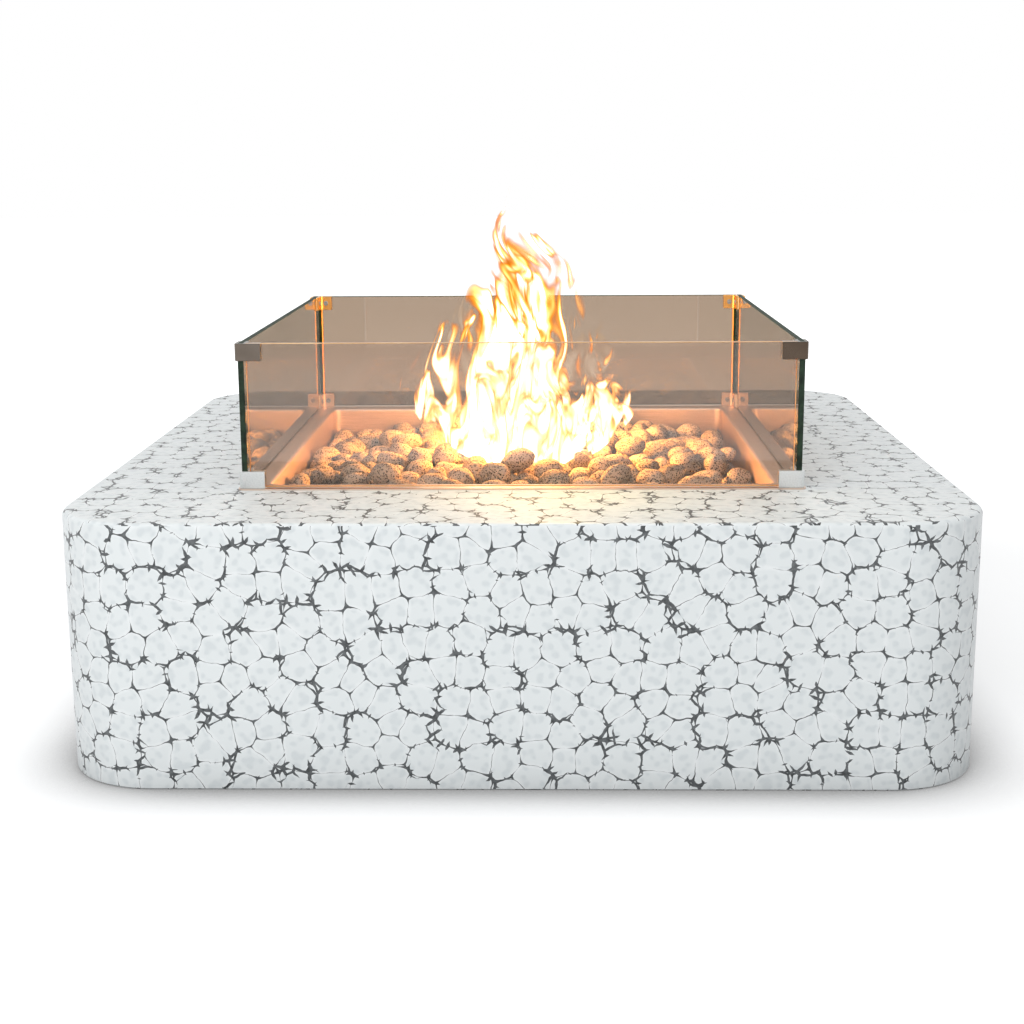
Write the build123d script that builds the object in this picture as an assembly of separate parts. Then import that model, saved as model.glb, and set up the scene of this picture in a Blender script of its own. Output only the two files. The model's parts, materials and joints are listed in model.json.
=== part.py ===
from build123d import *

import math
import os

import numpy as np

# Square outdoor gas fire pit. A cast body carries a drop-in burner pan, the gas train hangs under
# the pan, lava stones cover the burner and a glass wind guard stands on the pan's flange.
# Millimetres, +Z up, the front faces -Y, and the origin is on the ground under the body's middle.

INCH = 25.4

# Fits
SEAT_CLEARANCE = 0.2
RUNNING_CLEARANCE = 0.05
TOUCH_GAP = 0.3

# Body casting
BODY_SIDE = 48 * INCH
BODY_HEIGHT = 14 * INCH
BODY_CORNER_RADIUS = 5 * INCH
BODY_EDGE_ROUND = 8.0
BODY_FOOT_CHAMFER = 2.0
BODY_WALL = 22.0
BODY_TOP = 25.0

# Drop-in burner pan
PAN_INSIDE = 708.0
PAN_DEPTH = 80.0
PAN_SHEET = 2.0
PAN_FLANGE = 38.0
PAN_FLANGE_CORNER = 8.0
PAN_CORNER_RADIUS = 15.0
PAN_BEND = 3.0
PAN_WELL_CLEARANCE = 5.0
PAN_WEEP_RADIUS = 4.0
PAN_WEEP_INSET = 45.0

# Glass wind guard and its corner clips
GUARD_SETBACK = 2.0
GLASS_THICKNESS = 8.0
GLASS_HEIGHT = 200.0
GLASS_EDGE_CHAMFER = 0.8
CLIP_LEG = 36.0
CLIP_HEIGHT = 24.0
CLIP_WALL = 3.5
CLIP_WEB = 2.0
CLIP_PAD = 0.5
CLIP_FLOOR = 2.0
CLIP_CORNER_RADIUS = 7.0
CLIP_INNER_RADIUS = 5.0
CLIP_EASE = 0.6
CLIP_SCREW_RADIUS = 2.5
CLIP_SCREW_HEAD_RADIUS = 4.2
CLIP_SCREW_HEAD = 2.2

# Ring burner
BURNER_RING_RADIUS = 140.0
BURNER_TUBE_RADIUS = 9.0
BURNER_TUBE_WALL = 1.5
BURNER_LIFT = 14.0
BURNER_HUB_RADIUS = 17.0
BURNER_HUB_CAP = 3.0
BURNER_PORTS = 16
BURNER_PORT_RADIUS = 1.5
STUB_RADIUS = 10.5
STUB_BORE = 7.5
STUB_LENGTH = 28.0

# Fixings and mixer under the pan
WASHER_RADIUS = 22.0
WASHER_THICKNESS = 2.0
LOCKNUT_FLATS = 34.0
LOCKNUT_HEIGHT = 8.0
MIXER_RADIUS = 15.0
MIXER_WAIST_RADIUS = 12.5
MIXER_LENGTH = 40.0
MIXER_COLLAR = 13.0
MIXER_SOCKET = 11.0
MIXER_AIR_HOLE_RADIUS = 4.0
MIXER_JET_RADIUS = 2.0

# Gas feed pipe
PIPE_RADIUS = 8.0
PIPE_WALL = 1.2
PIPE_BEND = 24.0
PIPE_TAIL = 2.0
PIPE_NUT_FLATS = 27.0
PIPE_NUT_HEIGHT = 14.0

# Key valve
VALVE_STANDOFF = 32.0
VALVE_BARREL_RADIUS = 17.0
VALVE_BARREL_DROP = 20.0
VALVE_BARREL_RISE = 22.0
VALVE_NECK_RADIUS = 13.0
VALVE_RISE = 36.0
VALVE_SOCKET = 10.0
VALVE_FLOW_RADIUS = 6.0
VALVE_BALL_RADIUS = 12.0
VALVE_BALL_ROOM = 0.3
VALVE_SEAT_REACH = 14.0
VALVE_SEAT_DEPTH = 6.0
BONNET_RADIUS = 11.0
BONNET_PROUD = 7.0
STEM_RADIUS = 6.0
STEM_RECESS = 1.0
STEM_TANG = 4.0
STEM_TANG_DEPTH = 3.5
STEM_TANG_LENGTH = 9.0
KEY_SOCKET = 6.35
KEY_SOCKET_DEPTH = 12.0
INLET_RADIUS = 16.0
INLET_LENGTH = 26.0
INLET_THREAD_RADIUS = 9.13
INLET_THREAD_DEPTH = 16.0
JAM_NUT_FLATS = 30.0
JAM_NUT_HEIGHT = 6.0
ESCUTCHEON_RADIUS = 27.0
ESCUTCHEON_RIM = 2.0
ESCUTCHEON_HEIGHT = 5.0

# Control plate in the rear wall
CONTROL_WIDTH = 170.0
CONTROL_HEIGHT = 84.0
CONTROL_CORNER = 10.0
CONTROL_SHEET = 2.0
CONTROL_SIDE_MARGIN = 25.0
CONTROL_CUTOUT_MARGIN = 20.0
CONTROL_SPACING = 72.0
WALL_SCREW_RADIUS = 2.0
WALL_SCREW_HEAD_RADIUS = 4.0
WALL_SCREW_HEAD = 2.0
WALL_SCREW_LENGTH = 16.0
WALL_SCREW_INSET = 10.0

# Push-button igniter
IGNITER_RADIUS = 11.0
IGNITER_LENGTH = 52.0
IGNITER_BEZEL_RADIUS = 16.0
IGNITER_BEZEL = 3.0
IGNITER_NUT_FLATS = 30.0
IGNITER_NUT_HEIGHT = 5.0
BUTTON_RADIUS = 8.0
BUTTON_PROUD = 5.0
BUTTON_TRAVEL = 4.0
BUTTON_GUIDE = 8.0
BUTTON_EASE = 1.0

# Spark electrode beside the burner ring
SPARK_GAP = 4.0
SPARK_ROD_RADIUS = 1.5
SPARK_ROD_LENGTH = 22.0
SPARK_INSULATOR_RADIUS = 4.5
SPARK_INSULATOR_LENGTH = 38.0
SPARK_BRACKET_SHEET = 1.5
SPARK_BRACKET_WIDTH = 16.0
SPARK_BRACKET_FOOT = 18.0
SPARK_ROOM = 3.0

# Lava fill
BED_EDGE = 10.0
BED_CROWN = 29.0
BED_PLATEAU = 360.0
BED_ROOM = 1.0
STONE_HALF_SMALL = 17.0
STONE_HALF_LARGE = 33.0
STONE_WIDTH_LOW = 0.64
STONE_WIDTH_HIGH = 0.9
STONE_FLATNESS_LOW = 0.52
STONE_FLATNESS_HIGH = 0.76
STONE_CORNER_COUNT = 14
STONE_ROUGHNESS = 0.06
STONE_TILT = 25.0
STONE_GAP = 0.3
STONE_PERCH = 10.0
STONE_MISS_COUNT = 34
STONE_TRY_COUNT = 48
STONE_NUDGE_COUNT = 36
STONE_NUDGE_REACH = 18.0
STONE_CROWN_COUNT = 22
STONE_CROWN_SPREAD = 205.0
STONE_SEED = 11

# Access door in the rear wall
DOOR_CUTOUT_WIDTH = 340.0
DOOR_CUTOUT_HEIGHT = 180.0
DOOR_SILL = 55.0
DOOR_SIDE_MARGIN = 60.0
DOOR_SHEET = 2.0
DOOR_FLANGE = 26.0
DOOR_FLANGE_CORNER = 6.0
DOOR_SLEEVE_TAIL = 10.0
DOOR_GAP = 2.5
DOOR_DEPTH = 14.0
DOOR_LIP = 18.0
DOOR_LOUVRES = 4
DOOR_LOUVRE_LENGTH = 210.0
HINGE_KNUCKLE_COUNT = 3
HINGE_HEIGHT = 48.0
HINGE_SPREAD = 110.0
HINGE_BARREL_RADIUS = 3.5
HINGE_LEAF = 1.5
HINGE_LEAF_REACH = 20.0
HINGE_GAP = 0.6
HINGE_PIN_RADIUS = 1.75
HINGE_PIN_HEAD_RADIUS = 3.0
HINGE_PIN_HEAD = 1.2
KNOB_RADIUS = 9.0
KNOB_NECK_RADIUS = 5.0
KNOB_NECK = 4.0
KNOB_HEAD = 6.0
KNOB_INSET = 24.0
KNOB_STUD_RADIUS = 2.5
KNOB_NUT_FLATS = 9.0
KNOB_NUT_HEIGHT = 4.0
MAGNET_WIDTH = 14.0
MAGNET_HEIGHT = 44.0
MAGNET_DEPTH = 11.0

# Louvres and vent grilles
LOUVRE_OPENING = 9.0
LOUVRE_PITCH = 22.0
LOUVRE_DROP = 11.0
LOUVRE_REACH = 7.0
VENT_WIDTH = 320.0
VENT_HEIGHT = 112.0
VENT_CORNER = 8.0
VENT_SHEET = 2.0
VENT_MIDDLE = 150.0
VENT_RIM = 20.0
VENT_LOUVRES = 3
VENT_LOUVRE_LENGTH = 250.0

# Heights and places that follow from the sizes above
RIM = BODY_HEIGHT + PAN_SHEET
PAN_FLOOR = RIM - PAN_DEPTH
PAN_UNDERSIDE = PAN_FLOOR - PAN_SHEET
PAN_OUTSIDE = PAN_INSIDE + 2 * PAN_SHEET
FLANGE_SIDE = PAN_OUTSIDE + 2 * PAN_FLANGE
FLAT_HALF = BODY_SIDE / 2 - BODY_CORNER_RADIUS

CLIP_SLOT = GLASS_THICKNESS + 2 * CLIP_PAD
CLIP_THICKNESS = CLIP_SLOT + 2 * CLIP_WALL
GUARD_HALF = FLANGE_SIDE / 2 - GUARD_SETBACK
CLIP_BUTT = CLIP_WALL + CLIP_SLOT + CLIP_WEB
GLASS_OFFSET = GUARD_HALF - CLIP_WALL - CLIP_PAD - GLASS_THICKNESS / 2
GLASS_FOOT = RIM + CLIP_FLOOR
GUARD_TOP = GLASS_FOOT + GLASS_HEIGHT

BURNER_Z = PAN_FLOOR + BURNER_LIFT
STUB_END = PAN_UNDERSIDE - STUB_LENGTH
MIXER_TOP = STUB_END + MIXER_SOCKET
MIXER_FOOT = MIXER_TOP - MIXER_LENGTH
PIPE_DROP = PIPE_NUT_HEIGHT + PIPE_TAIL + PIPE_BEND
PIPE_RUN_Z = MIXER_FOOT - PIPE_DROP
VALVE_TOP = PIPE_RUN_Z - PIPE_DROP
VALVE_Z = VALVE_TOP - VALVE_RISE
VALVE_Y = BODY_SIDE / 2 - BODY_WALL - VALVE_STANDOFF
CONTROL_U = FLAT_HALF - CONTROL_SIDE_MARGIN - CONTROL_WIDTH / 2
VALVE_X = -(CONTROL_U + CONTROL_SPACING / 2)
IGNITER_X = -(CONTROL_U - CONTROL_SPACING / 2)
CONTROL_FACE = BODY_SIDE / 2 + CONTROL_SHEET

SLEEVE_WIDTH = DOOR_CUTOUT_WIDTH - 2 * SEAT_CLEARANCE
SLEEVE_HEIGHT = DOOR_CUTOUT_HEIGHT - 2 * SEAT_CLEARANCE
DOORWAY_WIDTH = SLEEVE_WIDTH - 2 * DOOR_SHEET
DOORWAY_HEIGHT = SLEEVE_HEIGHT - 2 * DOOR_SHEET
DOOR_WIDTH = DOORWAY_WIDTH - 2 * DOOR_GAP
DOOR_HEIGHT = DOORWAY_HEIGHT - 2 * DOOR_GAP
FRAME_WIDTH = DOOR_CUTOUT_WIDTH + 2 * DOOR_FLANGE
FRAME_HEIGHT = DOOR_CUTOUT_HEIGHT + 2 * DOOR_FLANGE
DOOR_U = -(FLAT_HALF - DOOR_SIDE_MARGIN - FRAME_WIDTH / 2)
DOOR_V = DOOR_SILL + DOOR_CUTOUT_HEIGHT / 2
HINGE_U = DOOR_U - DOORWAY_WIDTH / 2 + DOOR_GAP / 2

GOLDEN_ANGLE = math.pi * (3 - math.sqrt(5))

# Wall planes: local X runs along the wall, local Y is up from the ground, local Z points outwards
REAR_WALL = Plane(origin=(0, BODY_SIDE / 2, 0), x_dir=(-1, 0, 0), z_dir=(0, 1, 0))
LEFT_WALL = Plane(origin=(-BODY_SIDE / 2, 0, 0), x_dir=(0, -1, 0), z_dir=(-1, 0, 0))
RIGHT_WALL = Plane(origin=(BODY_SIDE / 2, 0, 0), x_dir=(0, 1, 0), z_dir=(1, 0, 0))

# Upright plane along the diagonal of a guard corner, which swaps its two legs
DIAGONAL = Plane(origin=(0, 0, 0), z_dir=(1, -1, 0))

UP = (Align.CENTER, Align.CENTER, Align.MIN)
DOWN = (Align.CENTER, Align.CENTER, Align.MAX)


def slab(width, depth, radius, height):
    """Block with rounded upright edges that stands on Z = 0."""
    return extrude(RectangleRounded(width, depth, radius), height)


def rod_y(radius, start, end):
    """Round bar along Y from start to end."""
    return Pos(0, start, 0) * Rot(X=-90) * Cylinder(radius, end - start, align=UP)


def rod_x(radius, start, end):
    """Round bar along X from start to end."""
    return Pos(start, 0, 0) * Rot(Y=90) * Cylinder(radius, end - start, align=UP)


def hex_nut(flats, height, bore):
    """Hexagon nut with a plain bore that stands on Z = 0."""
    hexagon = RegularPolygon(flats / 2, 6, major_radius=False)
    return extrude(hexagon - Circle(bore), height)


def pan_head_screw(head_radius, head, shank_radius, length):
    """Screw along -Z with its head seated on Z = 0."""
    cap = Cylinder(head_radius, head, align=UP)
    cap = chamfer(cap.edges().group_by(Axis.Z)[-1], head / 3)
    return cap + Cylinder(shank_radius, length, align=DOWN)


def corner_places(width, height, inset):
    """The four points set in from the corners of a rectangle."""
    across = width / 2 - inset
    up = height / 2 - inset
    return [(sx * across, sy * up) for sx in (-1, 1) for sy in (-1, 1)]


def wall_screws(sheet, width, height):
    """Wall screws at the four corners of a plate, in the plate's own plane."""
    screw = pan_head_screw(WALL_SCREW_HEAD_RADIUS, WALL_SCREW_HEAD, WALL_SCREW_RADIUS, WALL_SCREW_LENGTH)
    return [Pos(u, v, sheet) * screw for u, v in corner_places(width, height, WALL_SCREW_INSET)]


def wall_screw_holes(width, height):
    """Drillings through plate and into wall for the four corner screws."""
    hole_radius = WALL_SCREW_RADIUS + SEAT_CLEARANCE
    hole = Cylinder(hole_radius, 2 * WALL_SCREW_LENGTH)
    return [Pos(u, v, 0) * hole for u, v in corner_places(width, height, WALL_SCREW_INSET)]


def wall_window(width, height, radius):
    """Cutter that opens a rounded window through a wall."""
    return extrude(RectangleRounded(width, height, radius), 2 * BODY_WALL, both=True)


def body_casting():
    """Open-bottomed cast body with the pan well, the door, control and vent windows."""
    body = slab(BODY_SIDE, BODY_SIDE, BODY_CORNER_RADIUS, BODY_HEIGHT)
    body = fillet(body.edges().group_by(Axis.Z)[-1], BODY_EDGE_ROUND)
    body = chamfer(body.edges().group_by(Axis.Z)[0], BODY_FOOT_CHAMFER)
    hollow_side = BODY_SIDE - 2 * BODY_WALL
    hollow_radius = BODY_CORNER_RADIUS - BODY_WALL
    body -= slab(hollow_side, hollow_side, hollow_radius, BODY_HEIGHT - BODY_TOP)
    well_side = PAN_OUTSIDE + 2 * PAN_WELL_CLEARANCE
    well_radius = PAN_CORNER_RADIUS + PAN_SHEET + PAN_WELL_CLEARANCE
    body -= Pos(0, 0, BODY_HEIGHT / 2) * slab(well_side, well_side, well_radius, BODY_HEIGHT)
    door_place = Pos(DOOR_U, DOOR_V, 0)
    doorway = Box(DOOR_CUTOUT_WIDTH, DOOR_CUTOUT_HEIGHT, 4 * BODY_WALL)
    body -= REAR_WALL * (door_place * doorway)
    for hole in wall_screw_holes(FRAME_WIDTH, FRAME_HEIGHT):
        body -= REAR_WALL * (door_place * hole)
    control_place = Pos(CONTROL_U, VALVE_Z, 0)
    window_width = CONTROL_WIDTH - 2 * CONTROL_CUTOUT_MARGIN
    window_height = CONTROL_HEIGHT - 2 * CONTROL_CUTOUT_MARGIN
    body -= REAR_WALL * (control_place * wall_window(window_width, window_height, CONTROL_CORNER))
    for hole in wall_screw_holes(CONTROL_WIDTH, CONTROL_HEIGHT):
        body -= REAR_WALL * (control_place * hole)
    vent_window = wall_window(VENT_WIDTH - 2 * VENT_RIM, VENT_HEIGHT - 2 * VENT_RIM, VENT_CORNER)
    for wall in (LEFT_WALL, RIGHT_WALL):
        body -= wall * (Pos(0, VENT_MIDDLE, 0) * vent_window)
        for hole in wall_screw_holes(VENT_WIDTH, VENT_HEIGHT):
            body -= wall * (Pos(0, VENT_MIDDLE, 0) * hole)
    return body


def burner_pan():
    """Folded sheet tub whose flange lies on the body's top, with bent rims and weep holes."""
    pan = Pos(0, 0, BODY_HEIGHT) * slab(FLANGE_SIDE, FLANGE_SIDE, PAN_FLANGE_CORNER, PAN_SHEET)
    tub_height = BODY_HEIGHT - PAN_UNDERSIDE
    tub_radius = PAN_CORNER_RADIUS + PAN_SHEET
    pan += Pos(0, 0, PAN_UNDERSIDE) * slab(PAN_OUTSIDE, PAN_OUTSIDE, tub_radius, tub_height)
    pan -= Pos(0, 0, PAN_FLOOR) * slab(PAN_INSIDE, PAN_INSIDE, PAN_CORNER_RADIUS, 2 * PAN_DEPTH)
    flange_faces = pan.faces().filter_by(Axis.Z).sort_by(Axis.Z)
    pan = fillet(flange_faces[-1].inner_wires()[0].edges(), PAN_BEND + PAN_SHEET)
    underside = pan.faces().filter_by(Axis.Z).sort_by(Axis.Z)[-2]
    pan = fillet(underside.inner_wires()[0].edges(), PAN_BEND)
    stub_hole = Cylinder(STUB_RADIUS + SEAT_CLEARANCE, 4 * PAN_SHEET)
    pan -= Pos(0, 0, PAN_FLOOR) * stub_hole
    weep = Cylinder(PAN_WEEP_RADIUS, 4 * PAN_SHEET)
    for x, y in corner_places(PAN_INSIDE, PAN_INSIDE, PAN_WEEP_INSET):
        pan -= Pos(x, y, PAN_FLOOR) * weep
    return pan


def burner_ring():
    """Tube ring with two spokes, a hub, top ports and a threaded stub through the pan floor."""
    bore_radius = BURNER_TUBE_RADIUS - BURNER_TUBE_WALL
    ring = Torus(BURNER_RING_RADIUS, BURNER_TUBE_RADIUS)
    ring += rod_y(BURNER_TUBE_RADIUS, -BURNER_RING_RADIUS, BURNER_RING_RADIUS)
    hub_height = BURNER_LIFT + BURNER_TUBE_RADIUS + BURNER_HUB_CAP
    ring += Pos(0, 0, -BURNER_LIFT) * Cylinder(BURNER_HUB_RADIUS, hub_height, align=UP)
    stub_reach = BURNER_Z - STUB_END
    ring += Pos(0, 0, -BURNER_LIFT) * Cylinder(STUB_RADIUS, stub_reach - BURNER_LIFT, align=DOWN)
    ring -= Torus(BURNER_RING_RADIUS, bore_radius)
    ring -= rod_y(bore_radius, -BURNER_RING_RADIUS, BURNER_RING_RADIUS)
    ring -= Cylinder(STUB_BORE, stub_reach, align=DOWN)
    port = Cylinder(BURNER_PORT_RADIUS, 2 * BURNER_TUBE_RADIUS, align=UP)
    for step in range(BURNER_PORTS):
        ring -= Rot(Z=(step + 0.5) * 360 / BURNER_PORTS) * (Pos(BURNER_RING_RADIUS, 0, 0) * port)
    return Pos(0, 0, BURNER_Z) * ring


def burner_washer():
    """Flat washer against the pan's underside."""
    ring = Circle(WASHER_RADIUS) - Circle(STUB_RADIUS + SEAT_CLEARANCE)
    return Pos(0, 0, PAN_UNDERSIDE - WASHER_THICKNESS) * extrude(ring, WASHER_THICKNESS)


def burner_locknut():
    """Hexagon nut that draws the burner hub down on the pan floor."""
    nut = hex_nut(LOCKNUT_FLATS, LOCKNUT_HEIGHT, STUB_RADIUS + SEAT_CLEARANCE)
    return Pos(0, 0, PAN_UNDERSIDE - WASHER_THICKNESS - LOCKNUT_HEIGHT) * nut


def air_mixer():
    """Turned mixer with two collars, a waist with cross air holes and a jet above the pipe socket."""
    mixer = Cylinder(MIXER_RADIUS, MIXER_LENGTH, align=UP)
    waist_height = MIXER_LENGTH - 2 * MIXER_COLLAR
    waist = Circle(2 * MIXER_RADIUS) - Circle(MIXER_WAIST_RADIUS)
    mixer -= Pos(0, 0, MIXER_COLLAR) * extrude(waist, waist_height)
    socket_top = Pos(0, 0, MIXER_LENGTH) * Cylinder(STUB_RADIUS + SEAT_CLEARANCE, MIXER_SOCKET, align=DOWN)
    socket_foot = Cylinder(PIPE_RADIUS + SEAT_CLEARANCE, MIXER_SOCKET, align=UP)
    chamber = Pos(0, 0, MIXER_COLLAR) * Cylinder(STUB_BORE, MIXER_LENGTH, align=UP)
    jet = Cylinder(MIXER_JET_RADIUS, MIXER_LENGTH, align=UP)
    middle = MIXER_LENGTH / 2
    air = rod_x(MIXER_AIR_HOLE_RADIUS, -MIXER_RADIUS, MIXER_RADIUS)
    air += rod_y(MIXER_AIR_HOLE_RADIUS, -MIXER_RADIUS, MIXER_RADIUS)
    mixer = mixer - socket_top - socket_foot - chamber - jet - Pos(0, 0, middle) * air
    return Pos(0, 0, MIXER_FOOT) * mixer


def gas_feed_pipe():
    """Bent tube from the valve's outlet to the mixer's socket."""
    start = Vector(0, 0, MIXER_FOOT + MIXER_SOCKET - SEAT_CLEARANCE)
    end = Vector(VALVE_X, VALVE_Y, VALVE_TOP - VALVE_SOCKET + SEAT_CLEARANCE)
    corners = [Vector(0, 0, PIPE_RUN_Z), Vector(VALVE_X, VALVE_Y, PIPE_RUN_Z)]
    route = FilletPolyline(start, *corners, end, radius=PIPE_BEND)
    ring = Circle(PIPE_RADIUS) - Circle(PIPE_RADIUS - PIPE_WALL)
    section = Plane(origin=start, z_dir=(0, 0, -1)) * ring
    pipe = sweep(section, path=route)
    expected = ring.area * route.length
    print(f"gas feed pipe: volume {pipe.volume:.0f}, section times length {expected:.0f}")
    return pipe


def pipe_nuts():
    """Flare nuts on both ends of the feed pipe."""
    nut = hex_nut(PIPE_NUT_FLATS, PIPE_NUT_HEIGHT, PIPE_RADIUS + SEAT_CLEARANCE)
    upper = Pos(0, 0, MIXER_FOOT - PIPE_NUT_HEIGHT) * nut
    lower = Pos(VALVE_X, VALVE_Y, VALVE_TOP) * nut
    return Compound(children=[upper, lower])


def at_valve(shape):
    """Place a valve piece that is modelled about the middle of the ball."""
    return Pos(VALVE_X, VALVE_Y, VALVE_Z) * shape


def bonnet_end():
    """Distance from the ball's middle to the outer end of the bonnet."""
    return CONTROL_FACE + BONNET_PROUD - VALVE_Y


def valve_body():
    """Brass valve barrel with its outlet neck above and the bonnet through the control plate."""
    cavity_radius = VALVE_BALL_RADIUS + VALVE_BALL_ROOM
    barrel = Cylinder(VALVE_BARREL_RADIUS, VALVE_BARREL_DROP + VALVE_BARREL_RISE, align=UP)
    body = Pos(0, 0, -VALVE_BARREL_DROP) * barrel
    body += Cylinder(VALVE_NECK_RADIUS, VALVE_RISE, align=UP)
    body += rod_y(BONNET_RADIUS, 0, bonnet_end())
    cavity_height = VALVE_BARREL_DROP + VALVE_SEAT_REACH
    body -= Pos(0, 0, -VALVE_BARREL_DROP) * Cylinder(cavity_radius, cavity_height, align=UP)
    body -= Cylinder(VALVE_FLOW_RADIUS, 2 * VALVE_RISE, align=UP)
    body -= Pos(0, 0, VALVE_RISE) * Cylinder(PIPE_RADIUS + SEAT_CLEARANCE, VALVE_SOCKET, align=DOWN)
    body -= rod_y(STEM_RADIUS + RUNNING_CLEARANCE, 0, 2 * bonnet_end())
    return at_valve(body)


def valve_inlet_coupling():
    """Hexagon coupling that closes the barrel from below and takes the supply thread."""
    spigot_radius = VALVE_BALL_RADIUS + VALVE_BALL_ROOM - SEAT_CLEARANCE
    spigot_height = VALVE_BARREL_DROP - VALVE_SEAT_REACH
    coupling = hex_nut(2 * INLET_RADIUS, INLET_LENGTH, VALVE_FLOW_RADIUS)
    spigot = Circle(spigot_radius) - Circle(VALVE_FLOW_RADIUS)
    coupling += Pos(0, 0, INLET_LENGTH) * extrude(spigot, spigot_height)
    coupling -= Cylinder(INLET_THREAD_RADIUS, INLET_THREAD_DEPTH, align=UP)
    return at_valve(Pos(0, 0, -VALVE_BARREL_DROP - INLET_LENGTH) * coupling)


def valve_ball():
    """Ball with its flow bore upright, as when the gas is on, and a slot for the stem's tang."""
    ball = Sphere(VALVE_BALL_RADIUS) - Cylinder(VALVE_FLOW_RADIUS, 4 * VALVE_BALL_RADIUS)
    slot = Box(STEM_TANG + SEAT_CLEARANCE, 2 * STEM_TANG_DEPTH, 4 * VALVE_BALL_RADIUS)
    return at_valve(ball - Pos(0, VALVE_BALL_RADIUS, 0) * slot)


def valve_seats():
    """Upper and lower seat rings with a hollow that fits the ball."""
    outer = VALVE_BALL_RADIUS + VALVE_BALL_ROOM - SEAT_CLEARANCE
    ring = extrude(Circle(outer) - Circle(VALVE_FLOW_RADIUS), VALVE_SEAT_DEPTH)
    ring = Pos(0, 0, VALVE_SEAT_REACH - VALVE_SEAT_DEPTH) * ring
    ring -= Sphere(VALVE_BALL_RADIUS + RUNNING_CLEARANCE)
    return Compound(children=[at_valve(ring), at_valve(Rot(X=180) * ring)])


def valve_stem():
    """Stem with a tang in the ball's slot and a square key socket at its outer end."""
    root = VALVE_BALL_RADIUS + VALVE_BALL_ROOM
    tip = bonnet_end() - STEM_RECESS
    stem = rod_y(STEM_RADIUS, root, tip)
    tang_reach = root - VALVE_BALL_RADIUS + STEM_TANG_DEPTH - SEAT_CLEARANCE
    tang = Box(STEM_TANG, tang_reach, STEM_TANG_LENGTH, align=(Align.CENTER, Align.MAX, Align.CENTER))
    stem += Pos(0, root, 0) * tang
    stem -= Pos(0, tip, 0) * Box(KEY_SOCKET, 2 * KEY_SOCKET_DEPTH, KEY_SOCKET)
    return at_valve(stem)


def on_control_plate(x, shape):
    """Place a shape that is modelled on Z = 0 on the control plate's back, at the place of a control."""
    return REAR_WALL * (Pos(-x, VALVE_Z, 0) * shape)


def valve_jam_nut():
    """Nut that clamps the bonnet against the back of the control plate."""
    nut = hex_nut(JAM_NUT_FLATS, JAM_NUT_HEIGHT, BONNET_RADIUS + SEAT_CLEARANCE)
    return on_control_plate(VALVE_X, Pos(0, 0, -JAM_NUT_HEIGHT) * nut)


def valve_escutcheon():
    """Domed round trim over the valve hole."""
    bore = BONNET_RADIUS + SEAT_CLEARANCE
    inner_low = (bore, 0)
    outer_low = (ESCUTCHEON_RADIUS, 0)
    outer_high = (ESCUTCHEON_RADIUS, ESCUTCHEON_RIM)
    inner_high = (bore, ESCUTCHEON_HEIGHT)
    low = Polyline(inner_high, inner_low, outer_low, outer_high)
    dome = TangentArc(inner_high, outer_high, tangent=(1, 0))
    trim = revolve(Plane.XZ * make_face([low, dome]), Axis.Z)
    return on_control_plate(VALVE_X, Pos(0, 0, CONTROL_SHEET) * trim)


def control_plate():
    """Sheet plate over the control window with a hole for the valve and one for the igniter."""
    plate = slab(CONTROL_WIDTH, CONTROL_HEIGHT, CONTROL_CORNER, CONTROL_SHEET)
    for u, radius in ((CONTROL_SPACING / 2, BONNET_RADIUS), (-CONTROL_SPACING / 2, IGNITER_RADIUS)):
        plate -= Pos(u, 0, 0) * Cylinder(radius + SEAT_CLEARANCE, 4 * CONTROL_SHEET)
    for hole in wall_screw_holes(CONTROL_WIDTH, CONTROL_HEIGHT):
        plate -= hole
    return REAR_WALL * (Pos(CONTROL_U, VALVE_Z, 0) * plate)


def control_plate_screws():
    """Four wall screws of the control plate."""
    place = Pos(CONTROL_U, VALVE_Z, 0)
    screws = wall_screws(CONTROL_SHEET, CONTROL_WIDTH, CONTROL_HEIGHT)
    return Compound(children=[REAR_WALL * (place * screw) for screw in screws])


def igniter_module():
    """Spark module behind the plate with its bezel in front and the button's guide bore."""
    module = Pos(0, 0, CONTROL_SHEET) * Cylinder(IGNITER_RADIUS, IGNITER_LENGTH, align=DOWN)
    bezel = Cylinder(IGNITER_BEZEL_RADIUS, IGNITER_BEZEL, align=UP)
    bezel = chamfer(bezel.edges().group_by(Axis.Z)[-1], IGNITER_BEZEL / 2)
    module += Pos(0, 0, CONTROL_SHEET) * bezel
    bore_depth = BUTTON_GUIDE + BUTTON_TRAVEL + BUTTON_EASE
    bore = Cylinder(BUTTON_RADIUS + RUNNING_CLEARANCE, bore_depth, align=DOWN)
    module -= Pos(0, 0, CONTROL_SHEET + IGNITER_BEZEL) * bore
    return on_control_plate(IGNITER_X, module)


def igniter_nut():
    """Nut that clamps the igniter module behind the plate."""
    nut = hex_nut(IGNITER_NUT_FLATS, IGNITER_NUT_HEIGHT, IGNITER_RADIUS + SEAT_CLEARANCE)
    return on_control_plate(IGNITER_X, Pos(0, 0, -IGNITER_NUT_HEIGHT) * nut)


def igniter_button():
    """Round push button that slides in the bezel."""
    button = Cylinder(BUTTON_RADIUS, BUTTON_GUIDE + BUTTON_PROUD, align=UP)
    button = fillet(button.edges().group_by(Axis.Z)[-1], BUTTON_EASE)
    return on_control_plate(IGNITER_X, Pos(0, 0, CONTROL_SHEET + IGNITER_BEZEL - BUTTON_GUIDE) * button)


def spark_tip():
    """Distance from the burner's middle to the tip of the spark rod."""
    return BURNER_RING_RADIUS + BURNER_TUBE_RADIUS + SPARK_GAP


def spark_bracket_place():
    """Distance from the burner's middle to the middle of the bracket's upright."""
    return spark_tip() + SPARK_ROD_LENGTH + SPARK_INSULATOR_LENGTH / 2


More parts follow.
